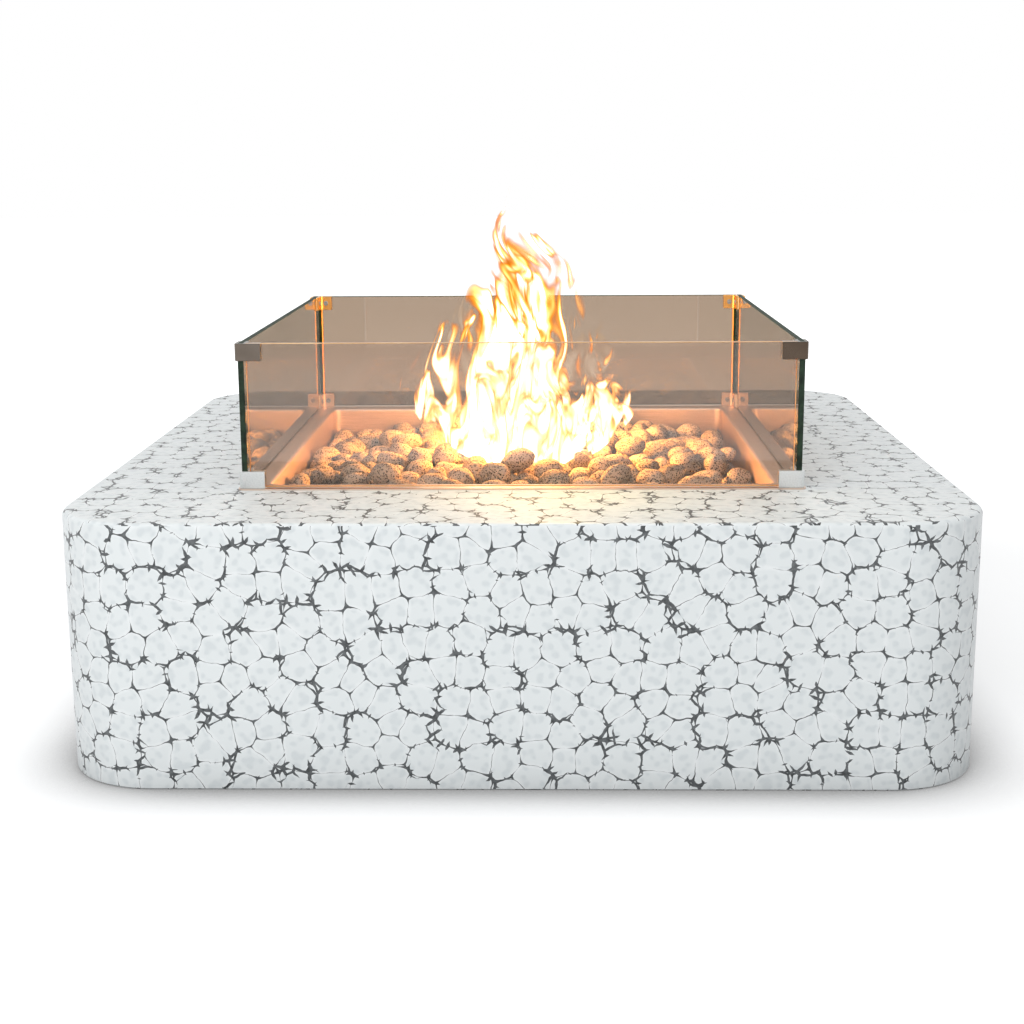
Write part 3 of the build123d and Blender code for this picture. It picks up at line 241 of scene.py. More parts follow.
@dataclass(frozen=True)
class VeinedCasting(Finish):
    """White satin coating with a printed marble vein on cast concrete.

    Rounded pale cells meet in dark spiky corners and thin lines. Each cell is clouded with grey and is
    brightest just inside its edge. Widths and blurs are shares of a cell. A span says where a measure
    starts to count and where it counts in full.
    """

    cell_mm: float = 38.0
    scatter: float = 0.7
    fine_mm: float = 16.0
    spot_mm: float = 13.0
    cloud_mm: float = 30.0
    cloud_share: float = 0.5
    cloud_span: Span = (0.38, 0.62)
    waver_mm: float = 26.0
    waver_depth_mm: float = 11.0
    ragged_mm: float = 7.0
    broken_mm: float = 22.0
    lag_span: Span = (0.125, 0.19)
    line_ragged: float = 0.5
    line_broken: float = 0.9
    line_span: Span = (0.5, 1.2)
    line_width: Span = (0.004, 0.054)
    line_blur: float = 0.016
    spike_lag: float = 0.5
    spike_ragged: float = 0.14
    spike_span: Span = (0.54, 0.78)
    spike_width: Span = (-0.05, 0.13)
    spike_blur: float = 0.03
    rim_span: Span = (0.02, 0.13)
    rim_share: float = 0.6
    rim: str = "F4F7F8"
    vein: str = "35383A"
    faded_vein: str = "6C7072"
    fade_span: Span = (0.35, 0.7)

    def detail(self, tree: Tree, shader: Node) -> None:
        """Lays the print flat on the wrap, and a faint orange peel over it.

        Args:
            tree: Node tree of the material.
            shader: The surface shader.
        """
        wrap = add(tree, "ShaderNodeUVMap", uv_map=WRAP)
        waver = add(tree, "ShaderNodeTexNoise",
                    {"Vector": wrap, "Scale": per_metre(self.waver_mm), "Detail": 2.0})
        depth = [self.waver_depth_mm * MM] * 3
        bent = add(tree, "ShaderNodeVectorMath", {0: waver.outputs["Color"], 1: depth, 2: wrap},
                   operation="MULTIPLY_ADD")
        cell = {"Vector": bent, "Scale": per_metre(self.cell_mm), "Randomness": self.scatter}
        edge = add(tree, "ShaderNodeTexVoronoi", cell, voronoi_dimensions="2D", feature="DISTANCE_TO_EDGE")
        ragged = add(tree, "ShaderNodeTexNoise",
                     {"Vector": wrap, "Scale": per_metre(self.ragged_mm), "Detail": 3.0})
        far = add(tree, "ShaderNodeTexVoronoi", cell, voronoi_dimensions="2D")
        blend = add(tree, "ShaderNodeTexVoronoi", {**cell, "Smoothness": 1.0}, voronoi_dimensions="2D",
                    feature="SMOOTH_F1")
        # The blended distance lags behind the plain one, more where three cells meet than on an edge.
        lag = add(tree, "ShaderNodeMath", {0: far, 1: blend}, operation="SUBTRACT")
        lines = self.lines(tree, wrap, edge, lag, ragged)
        spikes = self.spikes(tree, bent, far, lag, ragged)
        veins = add(tree, "ShaderNodeMath", {0: spikes, 1: lines}, operation="MAXIMUM")
        dark = add(tree, "ShaderNodeValToRGB", {"Fac": ragged},
                   list(zip(self.fade_span, (self.vein, self.faded_vein))))
        pale = self.pale(tree, wrap, bent, edge)
        printed = add(tree, "ShaderNodeMix", {0: veins, 6: pale, 7: dark}, data_type="RGBA")
        tree.links.new(printed.outputs[2], shader.inputs["Base Color"])
        place = add(tree, "ShaderNodeTexCoord").outputs["Object"]
        peel = add(tree, "ShaderNodeTexNoise",
                   {"Vector": place, "Scale": per_metre(self.grain_mm), "Detail": 2.0})
        bump = add(tree, "ShaderNodeBump", {"Height": peel, "Distance": self.bump_mm * MM})
        tree.links.new(bump.outputs["Normal"], shader.inputs["Normal"])

    def lines(self, tree: Tree, wrap: Node, edge: Node, lag: Node, ragged: Node) -> Node:
        """Draws a line on each edge, widest where cells meet in a corner.

        Args:
            tree: Node tree of the material.
            wrap: Places on the wrap.
            edge: Distance to the nearest edge.
            lag: Measure that grows from an edge to a corner.
            ragged: Fine noise.

        Returns:
            Node that gives 1 on a line.
        """
        broken = add(tree, "ShaderNodeTexNoise",
                     {"Vector": wrap, "Scale": per_metre(self.broken_mm), "Detail": 1.0})
        corner = add(tree, "ShaderNodeMapRange",
                     {"Value": lag, "From Min": self.lag_span[0], "From Max": self.lag_span[1]}, clamp=False)
        corner = add(tree, "ShaderNodeMath", {0: ragged, 1: self.line_ragged, 2: corner},
                     operation="MULTIPLY_ADD")
        corner = add(tree, "ShaderNodeMath", {0: broken, 1: self.line_broken, 2: corner},
                     operation="MULTIPLY_ADD")
        width = add(tree, "ShaderNodeMapRange",
                    {"Value": corner, "From Min": self.line_span[0], "From Max": self.line_span[1],
                     "To Min": self.line_width[0], "To Max": self.line_width[1]}, clamp=False)
        gap = add(tree, "ShaderNodeMath", {0: edge, 1: width}, operation="SUBTRACT")
        return add(tree, "ShaderNodeMapRange", {"Value": gap, "From Min": -self.line_blur, "From Max": 0.0,
                                                "To Min": 1.0, "To Max": 0.0},
                   interpolation_type="SMOOTHSTEP")

    def spikes(self, tree: Tree, bent: Node, far: Node, lag: Node, ragged: Node) -> Node:
        """Breaks a wide corner up into small pale ovals, with dark strokes that run out as spikes.

        Args:
            tree: Node tree of the material.
            bent: Wavering places on the wrap.
            far: Distance from a cell's middle.
            lag: Measure that grows from an edge to a corner.
            ragged: Fine noise.

        Returns:
            Node that gives 1 on a stroke.
        """
        fine = add(tree, "ShaderNodeTexVoronoi", {"Vector": bent, "Scale": per_metre(self.fine_mm)},
                   voronoi_dimensions="2D", feature="DISTANCE_TO_EDGE")
        near = add(tree, "ShaderNodeMath", {0: lag, 1: self.spike_lag, 2: far}, operation="MULTIPLY_ADD")
        near = add(tree, "ShaderNodeMath", {0: ragged, 1: self.spike_ragged, 2: near},
                   operation="MULTIPLY_ADD")
        width = add(tree, "ShaderNodeMapRange",
                    {"Value": near, "From Min": self.spike_span[0], "From Max": self.spike_span[1],
                     "To Min": self.spike_width[0], "To Max": self.spike_width[1]})
        gap = add(tree, "ShaderNodeMath", {0: fine, 1: width}, operation="SUBTRACT")
        return add(tree, "ShaderNodeMapRange", {"Value": gap, "From Min": -self.spike_blur, "From Max": 0.0,
                                                "To Min": 1.0, "To Max": 0.0},
                   interpolation_type="SMOOTHSTEP")

    def pale(self, tree: Tree, wrap: Node, bent: Node, edge: Node) -> bpy.types.NodeSocket:
        """Colours the inside of the cells.

        Args:
            tree: Node tree of the material.
            wrap: Places on the wrap.
            bent: Wavering places on the wrap.
            edge: Distance to the nearest edge.

        Returns:
            The colour's socket.
        """
        spots = add(tree, "ShaderNodeTexVoronoi", {"Vector": bent, "Scale": per_metre(self.spot_mm)},
                    voronoi_dimensions="2D", feature="SMOOTH_F1")
        cloud = add(tree, "ShaderNodeTexNoise",
                    {"Vector": wrap, "Scale": per_metre(self.cloud_mm), "Detail": 2.0})
        spotted = add(tree, "ShaderNodeMath", {0: cloud, 1: self.cloud_share, 2: spots},
                      operation="MULTIPLY_ADD")
        clouded = add(tree, "ShaderNodeValToRGB", {"Fac": spotted},
                      list(zip(self.cloud_span, (self.shade, self.colour))))
        rim = add(tree, "ShaderNodeMapRange",
                  {"Value": edge, "From Min": self.rim_span[0], "From Max": self.rim_span[1],
                   "To Min": self.rim_share, "To Max": 0.0})
        return add(tree, "ShaderNodeMix", {0: rim, 6: clouded, 7: linear(self.rim)},
                   data_type="RGBA").outputs[2]


@dataclass(frozen=True)
class PorousStone(Finish):
    """Tumbled lava stone: matt, pitted with gas pores, pale where it was worn and dark in the pits."""

    pore_mm: float = 3.0
    pore_span: Span = (0.1, 0.5)
    grit_share: float = 0.7
    speck_span: Span = (0.55, 1.4)
    speck_share: float = 0.68
    stone_mm: float = 45.0
    stone_share: float = 0.45
    worn: str = "B9B0A6"
    tone_stops: tuple[float, ...] = (0.42, 0.7, 0.92)

    def detail(self, tree: Tree, shader: Node) -> None:
        """Adds pores, grit between them and a tone that changes from stone to stone.

        Args:
            tree: Node tree of the material.
            shader: The surface shader.
        """
        place = add(tree, "ShaderNodeTexCoord").outputs["Object"]
        pores = add(tree, "ShaderNodeTexVoronoi", {"Vector": place, "Scale": per_metre(self.pore_mm)})
        grit = add(tree, "ShaderNodeTexNoise", {"Vector": place, "Scale": per_metre(self.grain_mm),
                                                "Detail": 4.0, "Roughness": 0.75})
        tone = add(tree, "ShaderNodeTexNoise",
                   {"Vector": place, "Scale": per_metre(self.stone_mm), "Detail": 0.0})
        pit = add(tree, "ShaderNodeMapRange",
                  {"Value": pores, "From Min": self.pore_span[0], "From Max": self.pore_span[1]},
                  interpolation_type="SMOOTHSTEP")
        height = add(tree, "ShaderNodeMath", {0: grit, 1: self.grit_share, 2: pit}, operation="MULTIPLY_ADD")
        speck = add(tree, "ShaderNodeMapRange",
                    {"Value": height, "From Min": self.speck_span[0], "From Max": self.speck_span[1],
                     "To Max": self.speck_share})
        value = add(tree, "ShaderNodeMath", {0: tone, 1: self.stone_share, 2: speck},
                    operation="MULTIPLY_ADD")
        tint = add(tree, "ShaderNodeValToRGB", {"Fac": value},
                   list(zip(self.tone_stops, (self.shade, self.colour, self.worn))))
        tree.links.new(tint.outputs["Color"], shader.inputs["Base Color"])
        bump = add(tree, "ShaderNodeBump", {"Height": height, "Distance": self.bump_mm * MM})
        tree.links.new(bump.outputs["Normal"], shader.inputs["Normal"])


@dataclass(frozen=True)
class PaneGlass(Finish):
    """Tempered float glass, polished: clear enough to look through, with a tint of its own and sharp gloss.

    The shade is the colour of the light that it lets through to what stands behind it.
    """

    ior: float = 1.5

    def detail(self, tree: Tree, shader: Node) -> None:
        """Sets the glass, and lets light through it to what stands behind.

        Args:
            tree: Node tree of the material.
            shader: The surface shader.
        """
        shader.inputs["Base Color"].default_value = linear(self.colour)
        shader.inputs["Transmission Weight"].default_value = 1.0
        shader.inputs["IOR"].default_value = self.ior
        through = add(tree, "ShaderNodeBsdfTransparent", {"Color": linear(self.shade)})
        shadow = add(tree, "ShaderNodeLightPath").outputs["Is Shadow Ray"]
        both = add(tree, "ShaderNodeMixShader", {0: shadow, 1: shader, 2: through})
        tree.links.new(both.outputs["Shader"], tree.nodes["Material Output"].inputs["Surface"])


# White coating with a grey marble print on glass-fibre concrete: satin, with a faint orange peel.
CAST_COAT = VeinedCasting("marble_print_on_cast_concrete", "E7ECED", "DBE1E3",
                          roughness=0.38, grain_mm=7.0, bump_mm=0.05)
# Folded 304 stainless sheet with a fine linear brush: soft stretched reflections, and a warm straw colour
# that is painted firelight.
PAN_SHEET_PAINTED_FIRELIGHT = BrushedSheet("brushed_304_stainless_pan_painted_firelight", "EAD6C8", "D6C3B5",
                         roughness=0.4, metallic=1.0, grain_mm=2.0, bump_mm=0.01)
# Thin 304 sheet of the plates, grilles and door, brushed across: sharper reflections than the pan's.
PLATE_SHEET = BrushedSheet("brushed_304_stainless_plate", "C0C1C0", "B1B2B1",
                           roughness=0.28, metallic=1.0, grain_mm=1.6, bump_mm=0.01)
# Satin stainless castings of the clips, bead blasted: even and bright.
CLIP_BRIGHT = Finish("bead_blasted_stainless", "E9EBEB", "DADCDC",
                     roughness=0.36, metallic=1.0, grain_mm=2.0, bump_mm=0.01)
# The upper left clip in front: the clips' satin stainless drawn warm grey, a painted dark reflection of what
# it faces.
CLIP_LEFT_PAINTED_REFLECTION = Finish("satin_stainless_painted_dark_reflection_left", "6C635B", "615850",
                     roughness=0.3, metallic=1.0, grain_mm=40.0, bump_mm=0.004)
# The upper right clip in front: the same stainless drawn browner still, a painted dark reflection of what it
# faces.
CLIP_RIGHT_PAINTED_REFLECTION = Finish("satin_stainless_painted_brown_reflection_right", "564A40", "4C4138",
                      roughness=0.3, metallic=1.0, grain_mm=40.0, bump_mm=0.004)
# The upper rear clips face the fire: their straw colour is painted firelight on the clips' stainless.
CLIP_PAINTED_FIRELIGHT = Finish("stainless_painted_straw_firelight", "F0BC74", "E2AA60",
                    roughness=0.3, metallic=1.0, grain_mm=40.0, bump_mm=0.004)
# The lower rear clips stand in the fire's glow: their faint warm tint is painted firelight on the clips'
# stainless.
CLIP_PAINTED_GLOW = Finish("stainless_painted_faint_firelight", "F2DDCD", "E8CFBC",
                    roughness=0.3, metallic=1.0, grain_mm=40.0, bump_mm=0.004)
# Tumbled grey lava stone: matt and rough, with dark pores.
LAVA = PorousStone("tumbled_lava_stone", "7C776F", "2C2825", roughness=0.9, grain_mm=1.8, bump_mm=0.9)
# Fine dark lava granules under the stones: a rough dark ground.
GRANULES = PorousStone("lava_granules", "51473F", "241F1C",
                       roughness=0.95, grain_mm=2.0, bump_mm=2.0, pore_mm=4.0)
# Bronze-grey tempered glass of the rear pane.
GLASS = PaneGlass("bronze_tempered_glass", "968371", "D7CCC0", roughness=0.0)
# The rear pane's bronze glass on the side panes, drawn a little darker as painted shade for the darker things
# they reflect and show.
SIDE_GLASS_PAINTED_DARKER = PaneGlass("bronze_tempered_glass_painted_darker", "83796C", "D2C9BF", roughness=0.0)
# Front pane of almost clear glass.
CLEAR_GLASS = PaneGlass("clear_tempered_glass", "E8D9CC", "F6F2EE", roughness=0.0)
# Ground edge of float glass, dark green from the iron in it.
GLASS_EDGE = Finish("ground_float_glass_edge", "16301A", "07140A", roughness=0.7, grain_mm=9.0)
# Polished edge of a clear pane: its amber colour is painted firelight, standing for the light that the glass
# pipes from the fire.
PAINTED_FIRELIGHT_EDGE = Finish("glass_edge_painted_firelight", "E9B877", "C98F52", roughness=0.2, grain_mm=60.0)
# Turned and milled brass of the gas fittings: yellow with a soft shine.
BRASS = Finish("machined_brass", "C9A458", "AE8A44", roughness=0.28, metallic=1.0, grain_mm=3.0, bump_mm=0.01)
# Polished chrome plate: nearly a mirror.
CHROME = Finish("polished_chrome_plate", "DCDDDE", "CFD0D1",
                roughness=0.07, metallic=1.0, grain_mm=12.0, bump_mm=0.002)
# Zinc plated small parts: bright, a little blurred.
PLATED = Finish("bright_zinc_plate", "C3C5C7", "A6A8AA",
                roughness=0.3, metallic=1.0, grain_mm=2.0, bump_mm=0.01)
# Stainless burner tube, dulled by heat to a brownish grey.
BURNER = Finish("heat_dulled_stainless", "8F877E", "6B625A", roughness=0.42, metallic=1.0, grain_mm=8.0)
# Black moulded nylon with a fine spark texture.
NYLON = Finish("black_moulded_nylon", "1B1B1B", "131313", roughness=0.5, grain_mm=1.2, bump_mm=0.04)
# Glossy black push button.
BUTTON = Finish("black_gloss_abs", "161616", "101010", roughness=0.16, grain_mm=5.0, bump_mm=0.004)
# Glazed alumina ceramic: off-white and glossy.
CERAMIC = Finish("glazed_alumina", "EFECE4", "E2DED4", roughness=0.18, grain_mm=5.0, bump_mm=0.01)
# White PTFE ball seats: waxy.
PTFE = Finish("white_ptfe", "ECECE6", "E0E0DA", roughness=0.4, grain_mm=4.0, bump_mm=0.01)
# Milky clear silicone liners.
SILICONE = Finish("clear_silicone", "D9D9D4", "CBCBC5", roughness=0.45, grain_mm=3.0)

BY_SLOT: dict[str, Finish] = {
    "cast_finish": CAST_COAT, "pan_steel": PAN_SHEET_PAINTED_FIRELIGHT, "burner_steel": BURNER, "plated_steel": PLATED,
    "brass": BRASS, "pipe_steel": PLATE_SHEET, "chrome_trim": CHROME, "seat_polymer": PTFE,
    "plate_steel": PLATE_SHEET, "black_plastic": NYLON, "button_plastic": BUTTON, "ceramic": CERAMIC,
    "lava_granules": GRANULES, "lava_stone": LAVA, "tinted_glass": GLASS, "clip_metal": CLIP_BRIGHT,
    "clear_rubber": SILICONE,
}
BY_CLIP: dict[str, Finish] = {
    "clip_lower_rear_left": CLIP_PAINTED_GLOW, "clip_lower_rear_right": CLIP_PAINTED_GLOW,
    "clip_upper_rear_left": CLIP_PAINTED_FIRELIGHT, "clip_upper_rear_right": CLIP_PAINTED_FIRELIGHT,
    "clip_upper_front_left": CLIP_LEFT_PAINTED_REFLECTION, "clip_upper_front_right": CLIP_RIGHT_PAINTED_REFLECTION,
}
BY_PANE: dict[str, tuple[Finish, Finish]] = {
    "glass_front": (CLEAR_GLASS, PAINTED_FIRELIGHT_EDGE), "glass_right": (SIDE_GLASS_PAINTED_DARKER, GLASS_EDGE),
    "glass_rear": (GLASS, GLASS_EDGE), "glass_left": (SIDE_GLASS_PAINTED_DARKER, GLASS_EDGE),
}


def show(name: str, mesh: bmesh.types.BMesh) -> bpy.types.Object:
    """Makes an object from a finished mesh.

    Args:
        name: The object's name.
        mesh: Its mesh, in place; it is freed.

    Returns:
        The new object, at the origin.
    """
    data = bpy.data.meshes.new(name)
    mesh.to_mesh(data)
    mesh.free()
    shown = bpy.data.objects.new(name, data)
    bpy.context.scene.collection.objects.link(shown)
    return shown


def new_piece(name: str, mesh: bmesh.types.BMesh, body: str,
              finishes: list[Finish]) -> bpy.types.Object:
    """Makes a shown piece from a finished mesh.

    Args:
        name: The piece's name.
        mesh: Its mesh, in place; it is freed.
        body: Body that it rides on.
        finishes: Its finishes, in the order of its face numbers.

    Returns:
        The new object.
    """
    piece = show(name, mesh)
    for finish in finishes:
        piece.data.materials.append(finish.material())
    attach(piece, body)
    LOG.info("made %s", name)
    return piece


def node_mesh(node: str) -> bmesh.types.BMesh:
    """Gives a merged copy of a solid's mesh.

    Args:
        node: The solid's name.

    Returns:
        The copy, whose triangles share their corners.
    """
    mesh = bmesh.new()
    mesh.from_mesh(frame["nodes"][node].data)
    bmesh.ops.remove_doubles(mesh, verts=mesh.verts, dist=MERGE_MM * MM)
    return mesh


def smooth_mesh(node: str, sharp_deg: float) -> bmesh.types.BMesh:
    """Gives a copy of a solid's mesh that shades smooth between its sharp edges.

    Args:
        node: The solid's name.
        sharp_deg: Angle from which an edge stays sharp.

    Returns:
        The merged and smoothed mesh.
    """
    mesh = node_mesh(node)
    for face in mesh.faces:
        face.smooth = True
    for edge in mesh.edges:
        edge.smooth = edge.calc_face_angle(math.pi) < math.radians(sharp_deg)
    return mesh


def dress_solids(record: dict[str, Any]) -> None:
    """Gives every solid the finish of its slot.

    Args:
        record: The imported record.
    """
    for row in record["subparts"]:
        solid = frame["nodes"][row["node"]]
        solid.data.materials.clear()
        solid.data.materials.append(BY_SLOT[row["material_slot"]].material())


@dataclass
class CastBody:
    """Cast body with its print wrapped round the sides and laid flat on the top."""

    node: str = "body_casting"
    piece: ClassVar[str] = "printed_cast_body"
    corner_mm: float = 127.0
    sharp_deg: float = 28.0
    seam_turn: float = 0.375
    level_from: float = 0.7
    top_shift: float = 5.0
    flat: float = field(init=False, default=0.0)

    def build(self) -> None:
        """Copies the casting, shades it smooth and lays the print on it."""
        mesh = smooth_mesh(self.node, self.sharp_deg)
        self.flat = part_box(self.node)[1].x - self.corner_mm * MM
        layer = mesh.loops.layers.uv.new(WRAP)
        for face in mesh.faces:
            middle = self.round_place(face.calc_center_median())
            for loop in face.loops:
                point = loop.vert.co
                if abs(face.normal.z) > self.level_from:
                    loop[layer].uv = (point.x, point.y + self.top_shift)
                else:
                    turn = self.round_place(point) - middle
                    turn -= round(turn / self.girth()) * self.girth()
                    loop[layer].uv = (middle + turn, point.z)
        body = new_piece(self.piece, mesh, "fire_pit", [CAST_COAT])
        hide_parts(self.node)

    def girth(self) -> float:
        """Gives the length once round the body's sides."""
        return 8 * self.flat + math.tau * self.corner_mm * MM

    def round_place(self, point: Vector) -> float:
        """Measures round the sides to a point.

        Args:
            point: A point on the body.

        Returns:
            Distance round the sides, with the seam on a rear corner.
        """
        quarter = self.girth() / 4
        turn = math.atan2(point.x, -point.y) / math.tau
        side = round(turn * 4) % 4
        angle = side * math.pi / 2
        across = point.x * math.cos(angle) + point.y * math.sin(angle)
        depth = point.x * math.sin(angle) - point.y * math.cos(angle)
        past = abs(across) - self.flat
        if past > 0:
            bend = math.atan2(past, max(depth - self.flat, TINY)) * self.corner_mm * MM
            across = math.copysign(self.flat + bend, across)
        return (side * quarter + across - self.seam_turn * self.girth()) % self.girth()


@dataclass
class SmoothSolids:
    """Copies of the solids with long curved faces, shaded smooth between their sharp edges."""

    nodes: tuple[str, ...] = ("burner_pan", "gas_feed_pipe")
    sharp_deg: float = 28.0

    def build(self) -> None:
        """Makes one copy of each solid."""
        for row in frame["record"]["subparts"]:
            if row["node"] in self.nodes:
                self.copy(row["node"], row["material_slot"])

    def copy(self, node: str, slot: str) -> None:
        """Copies a solid and smooths it.

        Args:
            node: The solid's name.
            slot: Its slot of the record.
        """
        body = frame["nodes"][node]["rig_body"]
        piece = new_piece(node + "_smooth", smooth_mesh(node, self.sharp_deg), body, [BY_SLOT[slot]])
        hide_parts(node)


@dataclass
class StoneHeap:
    """Rounded porous stones, one in the place of each solid stone."""

    node: str = "lava_stones"
    growth: float = 1.15
    roundness: int = 2
    lump_mm: float = 14.0
    lump_detail: int = 2
    lump_depth_mm: float = 3.0

    def build(self) -> None:
        """Rounds each stone and roughens it."""
        mesh = node_mesh(self.node)
        for stone in self.stones(mesh):
            middle = sum((vert.co for vert in stone), Vector()) / len(stone)
            bmesh.ops.scale(mesh, vec=[self.growth] * 3, verts=stone, space=Matrix.Translation(-middle))
        for face in mesh.faces:
            face.smooth = True
        heap = new_piece("rounded_lava_stones", mesh, "fire_pit", [LAVA])
        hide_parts(self.node)
        rounding = heap.modifiers.new("rounding", "SUBSURF")
        rounding.levels = rounding.render_levels = self.roundness
        lumps = bpy.data.textures.new("stone_lumps", "CLOUDS")
        lumps.noise_scale = self.lump_mm * MM
        lumps.noise_depth = self.lump_detail
        rough = heap.modifiers.new("lumps", "DISPLACE")
        rough.texture = lumps
        rough.texture_coords = "LOCAL"
        rough.strength = self.lump_depth_mm * MM
        rough.mid_level = 0.5

    @staticmethod
    def stones(mesh: bmesh.types.BMesh) -> list[list[bmesh.types.BMVert]]:
        """Splits the heap's mesh into its stones.

        Args:
            mesh: Merged mesh of the heap.

        Returns:
            The vertices of each stone.
        """
        found: list[list[bmesh.types.BMVert]] = []
        left = set(mesh.verts)
        for first in mesh.verts:
            if first not in left:
                continue
            left.discard(first)
            stone = [first]
            for vert in stone:
                for edge in vert.link_edges:
                    other = edge.other_vert(vert)
                    if other in left:
                        left.discard(other)
                        stone.append(other)
            found.append(stone)
        return found


@dataclass
class WindGuard:
    """Four glass panes with bevelled edges, and the clips, some with painted firelight and some with painted
    dark reflections.

    The rear pane reaches into the corners, and its ends have a painted dark band, for the edge seen through
    the glass, with a painted highlight line beside it.
    """

    edge_bevel_mm: float = 0.8
    corner_reach_mm: float = 2.6
    painted_band_mm: float = 4.6
    painted_line_mm: float = 2.0
    sheet_from: float = 0.99

    def build(self) -> None:
        """Makes the panes and dresses the clips."""
        for node, (clear, rim) in BY_PANE.items():
            mesh = self.rear_pane(node) if node == "glass_rear" else self.pane(node, 0.0)
            # The third finish is painted firelight, for the painted highlight lines at the rear pane's ends.
            piece = new_piece(node + "_pane", mesh, "wind_guard", [clear, rim, PAINTED_FIRELIGHT_EDGE])
            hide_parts(node)
        # Clip finishes: painted firelight on the rear clips, painted dark reflections on the upper front
        # ones.
        for node, finish in BY_CLIP.items():
            frame["nodes"][node].data.materials[0] = finish.material()

    def pane(self, node: str, reach_mm: float) -> bmesh.types.BMesh:
        """Makes one pane with bevelled edges.

        Args:
            node: The pane's solid.
            reach_mm: How much longer than the solid the pane is at each end.

        Returns:
            The pane's mesh, with its faces marked as sheet or rim.
        """
        low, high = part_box(node)
        size = high - low + 2 * Vector((reach_mm * MM, 0, 0))
        mesh = bmesh.new()
        bmesh.ops.create_cube(mesh, size=1.0)
        bmesh.ops.scale(mesh, vec=size, verts=mesh.verts)
        bmesh.ops.translate(mesh, vec=(low + high) / 2, verts=mesh.verts)
        bmesh.ops.bevel(mesh, geom=mesh.edges[:], offset=self.edge_bevel_mm * MM, segments=2, profile=0.5,
                        affect="EDGES", material=-1)
        thin = 0 if size.x < size.y else 1
        for face in mesh.faces:
            face.normal_update()
            sheet = abs(face.normal[thin]) > self.sheet_from
            face.material_index = PaneFace.SHEET if sheet else PaneFace.RIM
        return mesh

    def rear_pane(self, node: str) -> bmesh.types.BMesh:
        """Makes the rear pane, with a painted dark band and a painted highlight line at each end.

        Args:
            node: The pane's solid.

        Returns:
            The pane's mesh, with its faces marked.
        """
        mesh = self.pane(node, self.corner_reach_mm)
        low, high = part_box(node)
        middle = (low + high) / 2
        # The ends get a painted dark band for the edge seen through the glass, and a painted highlight line
        # just inside it.
        ground = (high.x - low.x) / 2 + (self.corner_reach_mm - self.painted_band_mm) * MM
        lit = ground - self.painted_line_mm * MM
        for cut in (ground, lit, -lit, -ground):
            bmesh.ops.bisect_plane(mesh, geom=mesh.verts[:] + mesh.edges[:] + mesh.faces[:],
                                   plane_no=(1, 0, 0), plane_co=middle + Vector((cut, 0, 0)))
        for face in mesh.faces:
            across = abs(face.calc_center_median().x - middle.x)
            if across > ground:
                face.material_index = PaneFace.RIM
            elif across > lit:
                face.material_index = PaneFace.LIT
        return mesh


@dataclass(frozen=True)
class FireLamp:
    """A point lamp for the fire's light, which lights some pieces alone or everything else."""

    name: str
    place: Place
    power: float
    colour: str
    pieces: tuple[str, ...]
    reach: Reach
    radius: float = 0.05

    def hang(self) -> None:
        """Hangs the lamp, hidden from view, and links it to what it lights."""
        light = bpy.data.lights.new(self.name, "POINT")
        light.energy = self.power
        light.color = linear(self.colour)[:3]
        light.shadow_soft_size = self.radius
        lamp = bpy.data.objects.new(self.name, light)
        lamp.location = self.place
        lamp.visible_camera = False
        lamp.visible_transmission = False
        lamp.visible_glossy = self.reach is Reach.ONLY
        bpy.context.scene.collection.objects.link(lamp)
        receivers = bpy.data.collections.new(self.name + "_receivers")
        for piece in self.pieces:
            receivers.objects.link(bpy.data.objects[piece])
        for row in receivers.collection_objects:
            row.light_linking.link_state = self.reach.value
        lamp.light_linking.receiver_collection = receivers


